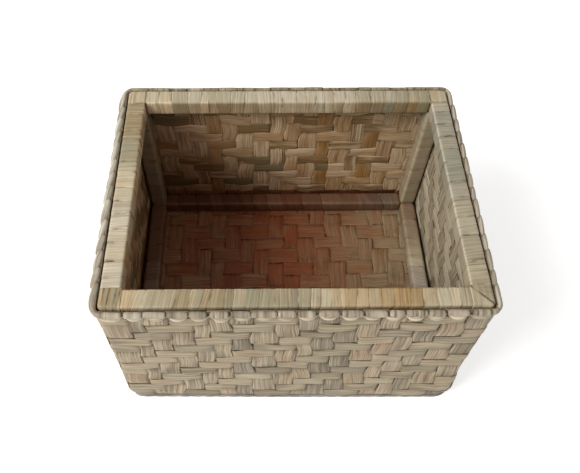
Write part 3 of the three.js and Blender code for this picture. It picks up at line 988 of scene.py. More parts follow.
def profile_facing(path: Array) -> Array:
    """Facing of a strip that climbs a wall, square to its path in the wall's own profile.

    Args:
        path: Stations as distance round, distance out and height.

    Returns:
        Facing directions in the same terms.
    """
    forward = np.gradient(path[:, 1:], axis=0)
    forward /= np.linalg.norm(forward, axis=1, keepdims=True)
    return np.column_stack([np.zeros(len(path)), forward[:, 1], -forward[:, 0]])


@dataclass(frozen=True)
class StakeLeaf:
    """One stake: its wall, its number there and round the box, its tone, and whether it ends the wall."""

    wall: int
    stake: int
    number: int
    tone: float
    first: bool
    last: bool


@dataclass
class WovenWalls:
    """Weft rows and stakes of the four walls, woven over and under each other.

    A field of four values has one for each wall: front, right, back and left.
    """

    dresser: Dresser
    plane: WallPlane
    twill: Twill
    sizes: BoxSizes = SIZES
    seed: int = 11
    weft_spacing: Values = (0.0, 0.05, 0.1, 0.17, 0.3, 0.5, 0.7, 0.83, 0.9, 0.95)
    stake_spacing: Values = (0.0, 0.065, 0.13, 0.24, 0.5, 0.76, 0.87, 0.935)
    weft_thickness: float = 1.1
    stake_thickness: float = 1.0
    weft_lift: float = 0.63
    weft_swell: float = 0.12
    stake_lift: float = 0.6
    stake_swell: float = 0.14
    row_wander: float = 2.3
    stake_wander: float = 2.3
    liveliness: float = 0.3
    weft_dive: Dive = Dive(ease=1.9, early=1.0, reach=12.0, begin_shade=0.9, end_shade=1.0)
    stake_dive: Dive = Dive(ease=1.7, early=0.9, reach=10.0, begin_shade=1.0, end_shade=0.8)
    # Inner warmth per wall: warm browns on the inner faces as painted shade, and paler leaf on the lit right
    # wall as painted light. The fields after it paint more shade at the left, low down and just above the
    # foot rails.
    inner_warmth: Values = (0.9, -0.18, 0.9, 1.0)
    painted_shade_slope: float = 0.26
    most_warmth: float = 1.05
    left_painted_shade: Values = (0.0, 0.0, 0.4, 0.12)
    low_painted_shade: Values = (0.2, 0.05, 0.4, 0.25)
    painted_shade_floor: float = 16.0
    painted_shade_height: float = 85.0
    painted_shade_lift: float = 0.8
    rail_painted_shadow: float = 1.3
    rail_top: float = 17.0
    # On the right wall's inner face the contrast pales the wefts and browns the stakes, as painted highlight
    # and painted shade, and the contrast shade deepens the painted shade at the dives.
    inner_contrast: Values = (0.0, 0.24, 0.0, 0.0)
    contrast_shade: float = 6.0
    inner_tone: Values = (0.4, 0.4, 0.42, 0.4)
    inner_spread: Values = (0.4, 0.2, 0.45, 0.4)
    # The back wall's inner face is evener and paler towards its lit right end: painted light.
    right_evening: float = 0.75
    right_painted_light: float = 0.06
    amber_stakes: tuple[int, ...] = (35, 38)
    amber_tone: float = 0.9
    stake_tones: Pair = (0.12, 0.66)
    bead_lean: Values = (0.15, 0.8, 0.4, 1.8)
    bead_power: Values = (4.0, 2.6, 4.0, 2.4)
    bead_tone: Values = (0.32, 0.32, 0.12, 0.26)
    bead_pinch: Values = (0.32, 0.5, 0.1, 0.95)
    bead_bleach: Values = (0.4, 0.6, 0.1, 0.75)
    bead_fill: Values = (0.92, 1.18, 1.08, 1.28)
    bead_uneven: Values = (0.08, 0.03, 0.03, 0.03)

    def __post_init__(self) -> None:
        """Draw the seams between rows and between stakes once, so that neighbours share them."""
        rng = np.random.default_rng(self.seed)
        sizes = self.sizes
        self.round = np.linspace(0, self.plane.length, 481)[:-1]
        self.heights = np.linspace(0, sizes.rim_height, 90)
        self.row_seams = []
        for row in range(sizes.weft_rows + 1):
            held = 0.4 if row in (0, sizes.weft_rows) else 1.0
            drift = wander(rng, self.round, (170, 74, 37), (0.8, 0.9, 0.9), self.plane.length)
            level = sizes.weft_floor + row * sizes.weft_pitch
            self.row_seams.append(level + held * self.row_wander * drift)
        self.stake_seams = [
            [self._stake_seam(rng, wall, stake) for stake in range(self.plane.stakes[wall] + 1)]
            for wall in range(4)
        ]

    def _stake_seam(self, rng: Rng, wall: int, stake: int) -> Array:
        """Draw the seam left of a wall's stake; the seams at the corners stay straight.

        Args:
            rng: Seeded source of wandering.
            wall: Number of the wall.
            stake: Number of the stake in its wall.

        Returns:
            Distance round the wall at each of the drawing heights.
        """
        drift = wander(rng, self.heights, (120, 50, 27), (0.8, 1.0, 0.6)) + rng.uniform(-0.8, 0.8)
        held = 0.0 if stake in (0, self.plane.stakes[wall]) else self.stake_wander
        return self.plane.start[wall] + stake * self.plane.pitch[wall] + held * drift

    def _row_edge(self, row: int, places: Numbers) -> Numbers:
        """Height of the lower edge of a row at distances round the wall."""
        return np.interp(places, self.round, self.row_seams[row], period=self.plane.length)

    def _row_gaps(self, row: int) -> Array:
        """Distances round the wall at which a row passes from each stake to the next.

        Args:
            row: Number of the row.

        Returns:
            One place for each stake, in order.
        """
        height = self.sizes.weft_floor + (row + 0.5) * self.sizes.weft_pitch
        gaps = []
        for wall, seams in enumerate(self.stake_seams):
            gaps += [float(np.interp(height, self.heights, seam)) for seam in seams[1:-1]]
            gaps.append(self.plane.start[wall] + 2 * self.plane.half[wall] + self.plane.bend / 2)
        return np.array(gaps)

    def _painted_inner_shade(self, places: Array, height: Array) -> Array:
        """Painted shade on the inner face in warm browns: paler on the lit right wall, deepest at the left,
        low down and just above the foot rails.

        Args:
            places: Distances round the wall.
            height: Heights at the same places.

        Returns:
            Share of the inner painted shade at each place, above 1 where it darkens further into a painted
            shade tint.
        """
        point, _, wall = self.plane.locate(places)
        sideways = point[:, 0] / self.plane.distance[1]
        base = np.array(self.inner_warmth)[wall] - self.painted_shade_slope * sideways
        left = np.array(self.left_painted_shade)[wall] * (1 - smoother((sideways + 1.0) / 1.3))
        low = np.array(self.low_painted_shade)[wall] * (1 - smoother((height - self.painted_shade_floor) / self.painted_shade_height))
        low *= 1 - self.painted_shade_lift * np.clip(sideways, 0, 1)
        # Painted shadow on the inner face just above the foot rails.
        rail_shadow = (wall != Wall.RIGHT.value) * (1 - smoother((height - self.rail_top) / 5.0))
        return np.minimum(base, self.most_warmth) + left + low + self.rail_painted_shadow * rail_shadow

    def _inner_tones(self, shares: Array, places: Array) -> Array:
        """Tone of the inner face from shares of each wall's spread, from -1 to 1.

        Args:
            shares: Share of the spread at each place.
            places: Distances round the wall.

        Returns:
            Tone at each place, evener towards the right of the back wall and paler there as painted light.
        """
        point, _, wall = self.plane.locate(places)
        evened = (wall == Wall.BACK.value) * np.clip(point[:, 0] / self.plane.distance[1], 0, 1)
        spread = self.plane.blend(self.inner_spread, places) * (1 - self.right_evening * evened)
        return self.plane.blend(self.inner_tone, places) + spread * shares + self.right_painted_light * evened

    def _joined_tones(self, rng: Rng, places: Array, low: float, high: float) -> Array:
        """Tones of leaves joined end to end along a row.

        Args:
            rng: Seeded source of joints and tones.
            places: Places along the row.
            low: Least tone.
            high: Greatest tone.

        Returns:
            Tone at each place.
        """
        tones = np.zeros_like(places)
        at = places[0] - rng.uniform(0, 120)
        while at < places[-1] + 1:
            run = rng.uniform(70, 210)
            tones[(places >= at) & (places < at + run)] = rng.uniform(low, high)
            at += run
        return tones

    def build_wefts(self) -> None:
        """Build each weft row as one closed strip."""
        rng = np.random.default_rng(self.seed + 1)
        for row in range(self.sizes.weft_rows):
            batch = Batch()
            batch.strip(self._weft(row, rng))
            name = f"weft_{row + 1:02d}"
            self.dresser.dress(batch, f"{name}_leaf", "weft_leaf", name)

    def _weft(self, row: int, rng: Rng) -> Strip:
        """One weft row, all the way round the box.

        Args:
            row: Number of the row.
            rng: Seeded source of differences.

        Returns:
            The closed strip.
        """
        length = self.plane.length
        gaps = self._row_gaps(row)
        places = between(np.concatenate([gaps[-1:] - length, gaps]), self.weft_spacing)
        states = np.array([1.0 if self.twill.weft_out(row, stake) else -1.0 for stake in range(len(gaps))])
        way = self.weft_dive.follow(places, gaps, states, rng, length)
        low, high = self._row_edge(row, places), self._row_edge(row + 1, places)
        middle = (low + high) / 2
        lively = 1 + self.liveliness * wander(rng, places, (74, 33), (1, 1), length)
        offset = way.side * (self.weft_lift + self.weft_swell * way.full) * lively
        offset += 0.2 * wander(rng, places, (90, 40), (1, 0.8), length)
        higher = row / self.sizes.weft_rows
        tone = self._joined_tones(rng, places, 0.16 + 0.12 * higher, 0.52 + 0.1 * higher)
        contrast = self.plane.blend(self.inner_contrast, places)
        return Strip(
            centre=np.column_stack([places, offset, middle]),
            half_width=(high - low) / 2 * (0.98 + 0.05 * way.full), thickness=self.weft_thickness,
            # The middle of each float is paler and its ends darker: painted highlight and painted shade.
            bow=way.side * (0.06 + 0.14 * way.full), tone=tone + 0.2 * (way.full - 0.7),
            tone_in=self._inner_tones(self._joined_tones(rng, places, -1.0, 1.0), places),
            warm_out=self._joined_tones(rng, places, -0.3, 0.08) * (1 - higher),
            warm_in=self._painted_inner_shade(places, middle) - contrast,
            # painted shade at the dives, deeper on the right wall's inner face
            dive=way.shade * (1 + self.contrast_shade * contrast), seed=float(row + 1), edge_shade=0.35,
            pleat=0.06, pleats=rng.uniform(2, 4), closed=True, wrap=self.plane,
        )

    def build_stakes(self) -> None:
        """Build each wall's stakes, bent under at the foot and folded over at the border."""
        for wall in Wall:
            rng = np.random.default_rng(self.seed + 20 + wall.value)
            first = int(np.flatnonzero(self.plane.wall_of == wall.value)[0])
            batch = Batch()
            count = self.plane.stakes[wall.value]
            for stake in range(count):
                tone = float(rng.uniform(*self.stake_tones))
                leaf = StakeLeaf(wall.value, stake, first + stake, tone, stake == 0, stake == count - 1)
                batch.strip(self._stake(leaf, rng))
                batch.strip(self._bead(leaf, rng))
            name = f"stakes_{wall.title}"
            self.dresser.dress(batch, f"{name}_leaf", "stake_leaf", name)

    def _stake_sides(self, leaf: StakeLeaf, height: Array, spread: Array) -> tuple[Array, Array]:
        """Left and right edges of a stake; the outermost reach to the middle of the corner bends.

        Args:
            leaf: The stake's leaf.
            height: Heights of the stations.
            spread: Share of the reach round the corner at each station.

        Returns:
            Distance round the wall of both edges at each station.
        """
        seams = self.stake_seams[leaf.wall][leaf.stake:leaf.stake + 2]
        low, high = (np.interp(height, self.heights, seam) for seam in seams)
        reach = spread * self.plane.bend / 2
        return low - (reach if leaf.first else 0.0), high + (reach if leaf.last else 0.0)

    def _stake_profile(self, number: int) -> tuple[Array, Array, Array]:
        """Stations of a stake, from under the base to the border.

        Args:
            number: Number of the stake round the box.

        Returns:
            Edges of the rows it crosses, then height and distance out of each station, as bent at the foot.
        """
        sizes = self.sizes
        middle = self.plane.middles[number]
        edges = np.array([float(self._row_edge(row, middle)) for row in range(sizes.weft_rows + 1)])
        edges[0] = sizes.base_middle + sizes.under_bend
        turn = np.linspace(0, math.pi / 2, 7)[:-1]
        bound = np.arange(edges[-1], sizes.rim_height - 2.0, 1.6)
        rise = np.concatenate([between(edges, self.stake_spacing), bound])
        bent = sizes.base_middle + sizes.under_bend * (1 - np.cos(turn))
        height = np.concatenate([[sizes.base_middle], bent, rise])
        drawn = sizes.under_bend * (np.sin(turn) - 1)
        lead_out = np.concatenate([[-sizes.under_bend - 2.5], drawn, np.zeros(len(rise))])
        return edges, height, lead_out

    def _stake(self, leaf: StakeLeaf, rng: Rng) -> Strip:
        """One stake's strip, from under the base to the border.

        Args:
            leaf: The stake's leaf.
            rng: Seeded source of differences.

        Returns:
            The strip.
        """
        sizes = self.sizes
        edges, height, lead_out = self._stake_profile(leaf.number)
        low, high = self._stake_sides(leaf, height, smoother((lead_out + 3.0) / 2.5))
        rows = range(sizes.weft_rows)
        states = np.array([-1.0 if self.twill.weft_out(row, leaf.number) else 1.0 for row in rows])
        way = self.stake_dive.follow(height, edges[1:-1], states, rng)
        woven = smoother((height - sizes.base_middle - 4.0) / 8.0)
        woven = woven * smoother((sizes.twine_floor + 1.0 - height) / 4.0)
        tuck = -0.3 * smoother((height - sizes.twine_floor + 3.0) / 4.0)
        lively = 1 + self.liveliness * wander(rng, height, (70, 31), (1, 1))
        offset = lead_out + woven * way.side * (self.stake_lift + self.stake_swell * way.full) * lively + tuck
        path = np.column_stack([(low + high) / 2, offset, height])
        inner = self._inner_tones(np.full(len(path), rng.uniform(-0.2, 0.9)), path[:, 0])
        # The middle of each float is paler and its ends darker: painted highlight and painted shade.
        outer = leaf.tone + 0.16 * wander(rng, height, (83, 37), (1, 1)) + 0.14 * (way.full - 0.7)
        below = smoother((sizes.twine_floor + 4.0 - height) / 8.0)
        contrast = self.inner_contrast[leaf.wall]
        # Painted shade at the dives, deeper on the right wall's inner face.
        shade = woven * way.shade * (1 + self.contrast_shade * contrast)
        return Strip(
            centre=path, across=ROUND_WALL, out=profile_facing(path),
            half_width=(high - low) / 2 * (0.98 + 0.03 * way.full) + 0.5 * (1 - woven),
            thickness=self.stake_thickness, bow=woven * way.side * (0.05 + 0.1 * way.full),
            tone=np.maximum(outer, 0.06),
            tone_in=self.amber_tone if leaf.number in self.amber_stakes else inner,
            warm_out=rng.uniform(-0.2, 0.16) * (1 - height / sizes.rim_height),
            warm_in=below * self._painted_inner_shade(path[:, 0], height) + contrast,
            # Near the rim the stake tops are darkened with painted shadow, in the gaps between the beads.
            dive=np.maximum(shade, 0.35 * (1 - below)), seed=20.0 + leaf.number, edge_shade=0.5, pleat=0.06,
            pleats=2.6, wrap=self.plane,
        )

    def _bead(self, leaf: StakeLeaf, rng: Rng) -> Strip:
        """The folded end of a stake, a plump bead over the edge of the wall.

        Args:
            leaf: The stake's leaf.
            rng: Seeded source of small differences.

        Returns:
            The bead.
        """
        sizes = self.sizes
        top = np.array([sizes.bead_middle])
        low, high = (float(edge[0]) for edge in self._stake_sides(leaf, top, np.ones(1)))
        share = np.linspace(-1, 1, 17)
        wall = leaf.wall
        cornered = (share < 0) & leaf.first | (share > 0) & leaf.last
        fill = self.bead_fill[wall] + rng.uniform(-1.0, 1.0) * self.bead_uneven[wall]
        place = (low + high) / 2 + (high - low) / 2 * share * np.where(cornered, 1.0, fill)
        pinch = self.bead_pinch[wall]
        plump = np.sqrt(np.clip(1 - np.abs(share) ** self.bead_power[wall], 0, 1))
        taper = np.where(cornered, 1.0, 1 - pinch + pinch * plump)
        grown = np.where(cornered, 1 - 0.3 * share ** 2, rng.uniform(0.92, 1.08))
        reach = self.plane.blend(sizes.bead_reach, place) * grown
        start = self.plane.blend(sizes.bead_start, place)
        lean = np.where(cornered, 0.0, self.bead_lean[wall] * share)
        middle = sizes.bead_middle + np.where(cornered, 0.0, rng.uniform(-0.3, 0.3) - lean)
        return Strip(
            centre=np.column_stack([place, (reach - start) / 2 + lean, middle]),
            half_width=sizes.bead_half_height * taper, thickness=(reach + start) * taper,
            tone=np.clip(self.bead_tone[wall] + leaf.tone * 0.4 + rng.uniform(-0.12, 0.12), 0, 0.8),
            warm_out=-self.bead_bleach[wall], warm_in=-self.bead_bleach[wall],
            # Painted shade at the pinched bead ends, under their neighbours.
            dive=0.55 * (1 - taper) / max(pinch, 0.3), seed=120.0 + leaf.number, grain_across=wall % 2 == 0,
            section=Section.ROUND, points=16, wrap=self.plane,
        )


@dataclass
class WovenBase:
    """Crossing strips of the base, seen inside the box and underneath."""

    dresser: Dresser
    plane: WallPlane
    twill: Twill
    sizes: BoxSizes = SIZES
    seed: int = 51
    spacing: Values = (0.0, 0.08, 0.17, 0.3, 0.5, 0.7, 0.83, 0.92)
    thickness: float = 0.8
    lift: float = 0.42
    swell: float = 0.08
    strip_wander: float = 2.1
    corner_fill: float = 2.4
    tone: float = 0.235
    tone_spread: float = 0.055
    left_painted_light: float = 0.12
    right_painted_light: float = 0.5
    dive: Dive = Dive(
        ease=1.8, early=1.0, reach=9.0, begin_shade=1.25, end_shade=1.25, shade_width=1.7, skew=1.9,
    )

    def __post_init__(self) -> None:
        """Draw the seams between the strips of both ways once, so that neighbours share them."""
        rng = np.random.default_rng(self.seed)
        self.reach = [distance - self.sizes.under_bend + 1.0 for distance in self.plane.distance[1::-1]]
        self.grid = np.linspace(-self.reach[0], self.reach[0], 200)
        self.seams = []
        for way in (0, 1):
            count = self.plane.stakes[way]
            drawn = []
            for number in range(count + 1):
                held = 0.0 if number in (0, count) else self.strip_wander
                drift = wander(rng, self.grid, (150, 63, 29), (1, 0.7, 0.4)) + rng.uniform(-0.5, 0.5)
                drawn.append(number * self.plane.pitch[way] - self.plane.half[way] + held * drift)
            self.seams.append(drawn)

    def build(self) -> None:
        """Build the base as one piece of crossing strips."""
        batch = Batch()
        rng = np.random.default_rng(self.seed + 1)
        for crossing in (True, False):
            for number in range(self.plane.stakes[1 if crossing else 0]):
                batch.strip(self._strip(rng, crossing, number))
        self.dresser.dress(batch, "woven_base_leaf", "base_leaf", "woven_base")

    def _on_top(self, crossing: bool, number: int, crossed: int) -> bool:
        """Whether a strip lies on top of another that it crosses."""
        column, row = (crossed, number) if crossing else (number, crossed)
        return self.twill.across_on_top(column, row) == crossing

    def _strip(self, rng: Rng, crossing: bool, number: int) -> Strip:
        """One strip of the base; the outermost of each way are wider and longer to fill the corners.

        Args:
            rng: Seeded source of differences.
            crossing: True for a strip from left to right, False for front to back.
            number: Number of the strip.

        Returns:
            The strip.
        """
        run, other = (0, 1) if crossing else (1, 0)
        nominal = (number + 0.5) * self.plane.pitch[other] - self.plane.half[other]
        gaps = np.array([float(np.interp(nominal, self.grid, seam)) for seam in self.seams[run]])
        first, last = number == 0, number == self.plane.stakes[other] - 1
        reach = self.reach[run] + self.corner_fill * (first or last)
        places = np.concatenate([[-reach], between(gaps, self.spacing), [gaps[-1], reach]])
        tops = [self._on_top(crossing, number, crossed) for crossed in range(len(gaps) - 1)]
        way = self.dive.follow(places, gaps[1:-1], np.where(tops, 1.0, -1.0), rng)
        low = np.interp(places, self.grid, self.seams[other][number]) - self.corner_fill * first
        high = np.interp(places, self.grid, self.seams[other][number + 1]) + self.corner_fill * last
        middle = (low + high) / 2
        height = self.sizes.base_middle + way.side * (self.lift + self.swell * way.full)
        ahead, across = np.eye(3)[run], np.eye(3)[other]
        sideways = (places if crossing else middle) / self.plane.distance[1]
        dusk = np.clip(rng.uniform(-0.06, 0.2) + 0.2 * wander(rng, places, (47, 31), (1, 1)), 0, 0.35)
        tone = self.tone + rng.uniform(-self.tone_spread, self.tone_spread)
        # Painted light: the base is paler towards the left, lifting the shade there, and much paler on the
        # lit right.
        tone = tone - self.left_painted_light * np.clip(sideways, -1, 0)
        tone = tone + self.right_painted_light * np.clip(sideways, 0, 1)
        return Strip(
            centre=np.outer(places, ahead) + np.outer(middle, across) + np.outer(height, UP), across=across,
            out=UP, half_width=(high - low) / 2 + 0.2, thickness=self.thickness,
            bow=way.side * (0.06 + 0.1 * way.full), tone=tone + 0.05 * wander(rng, places), warm_out=1.0,
            # painted shade in the slits where strips dive, plus random darkening of whole strips
            warm_in=0.2, dive=way.shade + dusk, seed=200.0 + 40 * crossing + number, edge_shade=0.16,
            pleat=0.07, pleats=2.5,
        )


@dataclass(frozen=True)
class Winding:
    """How leaf strip is wound on a batten.

    The turns are between two widths. Drift is the tone, warm the warmth and slant the lean of the turns,
    each given evenly along the batten. The inner values are added on the face towards the box's inside, where
    the added warmth is painted shade. The edge highlight is painted on the rounded edges.
    """

    slot: str
    turns: Pair
    drift: Values = (0.5,)
    warm: Values = (0.0,)
    slant: Values = (11.0,)
    slant_spread: float = 6.0
    inner_tone: float = 0.0
    inner_face_painted_shade: float = 0.0
    tone_spread: float = 0.12
    warm_spread: float = 0.1
    rounding: float = SIZES.inner_round
    crown: float = 0.08
    pleating: float = 0.05
    tilt: float = -0.1
    seam: float = 1.0
    edge_highlight: float = 0.1


RIM_WINDING = Winding(
    "rim_leaf", (5.0, 12.0), tone_spread=0.11, warm_spread=0.2, rounding=SIZES.rail_round, crown=0.06,
    pleating=0.08, seam=1.7, edge_highlight=0.12,
)
FOOT_WINDING = Winding("inner_leaf", (12.0, 26.0))
POST_WINDING = Winding("inner_leaf", (18.0, 36.0), crown=0.03, pleating=0.03, tilt=-0.03, seam=0.6)

RIM_WINDINGS = {
    Wall.FRONT: replace(
        RIM_WINDING, drift=(0.72, 0.24, 0.24, 0.2, 0.84, 0.92, 0.3), warm=(0.24, 0.12),
        slant=(16.0, 10.0, 3.0, 1.0, 0.0), inner_tone=0.3, inner_face_painted_shade=0.5,
    ),
    # Back rail: the paler leaf in its middle is a painted highlight.
    Wall.BACK: replace(
        RIM_WINDING, turns=(6.0, 15.0), drift=(0.62, 0.34, 0.46, 0.6, 0.4, 0.24),
        warm=(0.06, -0.25, -0.4, 0.05), slant=(3.0, -4.0), inner_tone=-0.12, inner_face_painted_shade=0.7,
    ),
    # Left rail: higher tone and paler leaf at its front end, lower tone and warmer leaf at its back end:
    # painted light and painted shade along the rail.
    Wall.LEFT: replace(
        RIM_WINDING, turns=(9.0, 20.0), drift=(0.5, 0.5, 0.42, 0.26, 0.18), warm=(-0.5, -0.25, 0.15, 0.4),
        slant=(3.0,), inner_tone=0.18, inner_face_painted_shade=0.8,
    ),
    Wall.RIGHT: replace(
        RIM_WINDING, turns=(13.0, 26.0), drift=(0.22, 0.3, 0.12, 0.05, 0.18), warm=(-0.1, -0.15),
        slant=(-5.0,), edge_highlight=0.5,
    ),
}
FOOT_WINDINGS = {
    Wall.FRONT: replace(FOOT_WINDING, drift=(0.3, 0.6), warm=(1.0, 0.8)),
    # Warmth above 1 on the back foot rail is painted shade.
    Wall.BACK: replace(FOOT_WINDING, drift=(0.2, 0.3, 0.45, 0.74), warm=(1.15, 1.0)),
    Wall.LEFT: replace(FOOT_WINDING, drift=(0.3, 0.6), warm=(1.0, 1.0)),
    Wall.RIGHT: replace(FOOT_WINDING, drift=(0.6, 0.6, 0.5), warm=(-1.0, -1.0, -0.9, -0.1, 0.6, 0.75)),
}
POST_WINDINGS = {
    Wall.LEFT: replace(POST_WINDING, drift=(0.4, 0.3, 0.5, 0.4), warm=(0.75, 0.6), edge_highlight=0.05),
    Wall.RIGHT: replace(POST_WINDING, drift=(0.52, 0.4, 0.5, 0.34), warm=(0.42, 0.1), edge_highlight=0.35),
}


@dataclass
class WoundMember:
    """A batten wound crosswise with leaf strip, turn beside turn."""

    dresser: Dresser
    node: str
    winding: Winding
    middle: Triple
    along: Triple
    outward: Triple
    upward: Triple
    length: float
    width: float
    height: float
    seed: int
    flat_step: float = 3.0
    bend_stations: int = 5
    overlap: float = 0.4
    leaf: float = 0.8
    sunk: float = 0.45
    straight_end: float = 14.0

    def _section(self) -> tuple[Array, Array, Array]:
        """Walk round the rounded section, from the middle of the outer face upwards.

        Returns:
            Share of the way round, points and facing directions in the section's own plane.
        """
        radius = self.winding.rounding
        wide, high = self.width / 2 - radius, self.height / 2 - radius
        arc = math.pi / 2 * radius
        lengths = np.array([high, arc, 2 * wide, arc, 2 * high, arc, 2 * wide, arc, high])
        starts = np.concatenate([[0], np.cumsum(lengths)])
        counts = [self.bend_stations if leg % 2 else int(np.ceil(length / self.flat_step))
                  for leg, length in enumerate(lengths)]
        walked = np.concatenate([
            begin + length * np.arange(count) / count for begin, length, count in zip(starts, lengths, counts)
        ] + [starts[-1:] - 1e-6])
        share = walked / starts[-1]
        leg = np.clip(np.searchsorted(starts, walked + 1e-7, side="right") - 1, 0, 8)
        past = walked - starts[leg]
        points = np.zeros((len(share), 2))
        facing = np.zeros((len(share), 2))
        flats = {
            0: ((wide + radius, 0), (0, 1), (1, 0)),
            2: ((wide, high + radius), (-1, 0), (0, 1)),
            4: ((-wide - radius, high), (0, -1), (-1, 0)),
            6: ((-wide, -high - radius), (1, 0), (0, -1)),
            8: ((wide + radius, -high), (0, 1), (1, 0)),
        }
        for number, (begin, way, face) in flats.items():
            on = leg == number
            points[on] = np.array(begin, float) + np.outer(past[on], np.array(way, float))
            facing[on] = face
        bends = {1: (wide, high), 3: (-wide, high), 5: (-wide, -high), 7: (wide, -high)}
        for number, centre in bends.items():
            on = leg == number
            angle = (number - 1) / 4 * math.pi + past[on] / radius
            facing[on] = np.column_stack([np.cos(angle), np.sin(angle)])
            points[on] = np.array(centre, float) + radius * facing[on]
        return share, points, facing

    def build(self) -> None:
        """Wind the strip on turn by turn."""
        rng = np.random.default_rng(self.seed)
        least, most = self.winding.turns
        cuts = [0.0]
        while cuts[-1] < self.length - most:
            cuts.append(cuts[-1] + rng.uniform(least, most))
        cuts = np.append(cuts, self.length)
        slants = along_list(self.winding.slant, cuts / self.length)
        slants += self.winding.slant_spread * rng.uniform(-1, 1, len(cuts))
        slants *= np.clip(np.minimum(cuts, self.length - cuts) / self.straight_end, 0, 1)
        share, section, facing = self._section()
        batch = Batch()
        for number in range(len(cuts) - 1):
            start = cuts[number] + slants[number] * (share - 0.5) - (self.overlap if number else 0.0)
            end = cuts[number + 1] + slants[number + 1] * (share - 0.5) + 0.1
            batch.strip(self._turn(rng, number, start, np.maximum(end, start + 1.0), section, facing))
        self.dresser.dress(batch, f"{self.node}_leaf", self.winding.slot, self.node)

    def _turn(self, rng: Rng, number: int, start: Array, end: Array, section: Array, facing: Array) -> Strip:
        """One turn of the strip.

        Args:
            rng: Seeded source of differences.
            number: Number of the turn.
            start: Near edge along the batten at each station.
            end: Far edge along the batten at each station.
            section: Points round the batten.
            facing: Facing directions round the batten.

        Returns:
            The strip, once round the batten.
        """
        winding = self.winding
        axis, outward, upward = (np.array(way, float) for way in (self.along, self.outward, self.upward))
        place = (start + end) / 2 - self.length / 2
        share = place / self.length + 0.5
        out = facing[:, :1] * outward + facing[:, 1:] * upward
        centre = (np.outer(place, axis) + np.array(self.middle)
                  + section[:, :1] * outward + section[:, 1:] * upward - out * (self.leaf / 2 + self.sunk))
        inner = np.clip(-facing[:, 0], 0, 1)
        tone = along_list(winding.drift, float(np.mean(share)))
        tone = tone + rng.uniform(-1, 1) * winding.tone_spread + winding.inner_tone * inner
        # Inner warmth on the face towards the box's inside is painted shade.
        warm = along_list(winding.warm, share) + winding.inner_face_painted_shade * inner
        warm = warm + rng.uniform(-1.2, 1.0) * winding.warm_spread
        # Painted highlight: paler leaf on the rounded edges, where light catches them.
        warm = warm - winding.edge_highlight * (2 * facing[:, 0] * facing[:, 1]) ** 2
        return Strip(
            centre=centre, across=axis, out=out, half_width=(end - start) / 2, thickness=self.leaf,
            bow=winding.crown, tone=tone, warm_out=warm, warm_in=warm, seed=self.seed + 0.37 * number,
            tilt=winding.tilt, pleat=rng.uniform(0.2, 1.0) * winding.pleating, pleats=rng.uniform(1.0, 3.5),
            edge_shade=rng.uniform(0.5, 1.4) * winding.seam, edge_power=9.0,
        )


@dataclass
class WoundFrame:
    """The wound inner frame: rim rails, posts and foot rails, with their hidden battens."""

    dresser: Dresser
    sizes: BoxSizes = SIZES
    rim_seed: int = 301
    foot_seed: int = 321
    post_seed: int = 341

    def rails(self) -> list[WoundMember]:
        """List the eight wound rails.

        Returns:
            The rim and the foot rail of each wall.
        """
        sizes = self.sizes
        rim = ("rim", RIM_WINDINGS, sizes.rim_rail_height, sizes.rim_height - sizes.rim_rail_height / 2)
        foot = ("foot", FOOT_WINDINGS, sizes.foot_rail_height, sizes.foot_floor + sizes.foot_rail_height / 2)
        rails = []
        for at, wall in enumerate((Wall.FRONT, Wall.BACK, Wall.LEFT, Wall.RIGHT)):
            run = sizes.frame_width if wall.lengthwise else sizes.frame_depth
            away = wall.sign * (sizes.rail_y if wall.lengthwise else sizes.rail_x)
            for (kind, windings, height, level), seed in ((rim, self.rim_seed), (foot, self.foot_seed)):
                rails.append(WoundMember(
                    dresser=self.dresser, node=f"{kind}_winding_{wall.title}", winding=windings[wall],
                    middle=(0, away, level) if wall.lengthwise else (away, 0, level),
                    along=(1, 0, 0) if wall.lengthwise else (0, 1, 0),
                    outward=(0, wall.sign, 0) if wall.lengthwise else (wall.sign, 0, 0), upward=(0, 0, 1),
                    length=run - 2 * sizes.rail_width, width=sizes.rail_width, height=height,
                    seed=seed + at,
                ))
        return rails

    def posts(self) -> list[WoundMember]:
        """List the four wound posts.

        Returns:
            The posts, front first and left first.
        """
        sizes = self.sizes
        floor = sizes.foot_floor + sizes.foot_rail_height
        top = sizes.rim_height - sizes.rim_rail_height
        corners = [(end, side) for end in (Wall.FRONT, Wall.BACK) for side in (Wall.LEFT, Wall.RIGHT)]
        return [
            WoundMember(
                dresser=self.dresser, node=f"post_winding_{end.title}_{side.title}",
                winding=POST_WINDINGS[side],
                middle=(side.sign * sizes.rail_x, end.sign * sizes.rail_y, (floor + top) / 2),
                along=(0, 0, 1), outward=(side.sign, 0, 0), upward=(0, end.sign, 0), length=top - floor,
                width=sizes.rail_width, height=sizes.rail_width, seed=self.post_seed + at,
            )
            for at, (end, side) in enumerate(corners)
        ]

    def build(self) -> None:
        """Wind every member."""
        for member in self.rails() + self.posts():
            member.build()

    def dress_battens(self, nodes: dict[str, bpy.types.Object]) -> None:
        """Give the hidden battens their wood.

        Args:
            nodes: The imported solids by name.
        """
        wood = WoodFinish().material()
        for name, node in nodes.items():
            if "_batten_" in name:
                node.data.materials.clear()
                node.data.materials.append(wood)
                LOG.info("%s: wood", name)


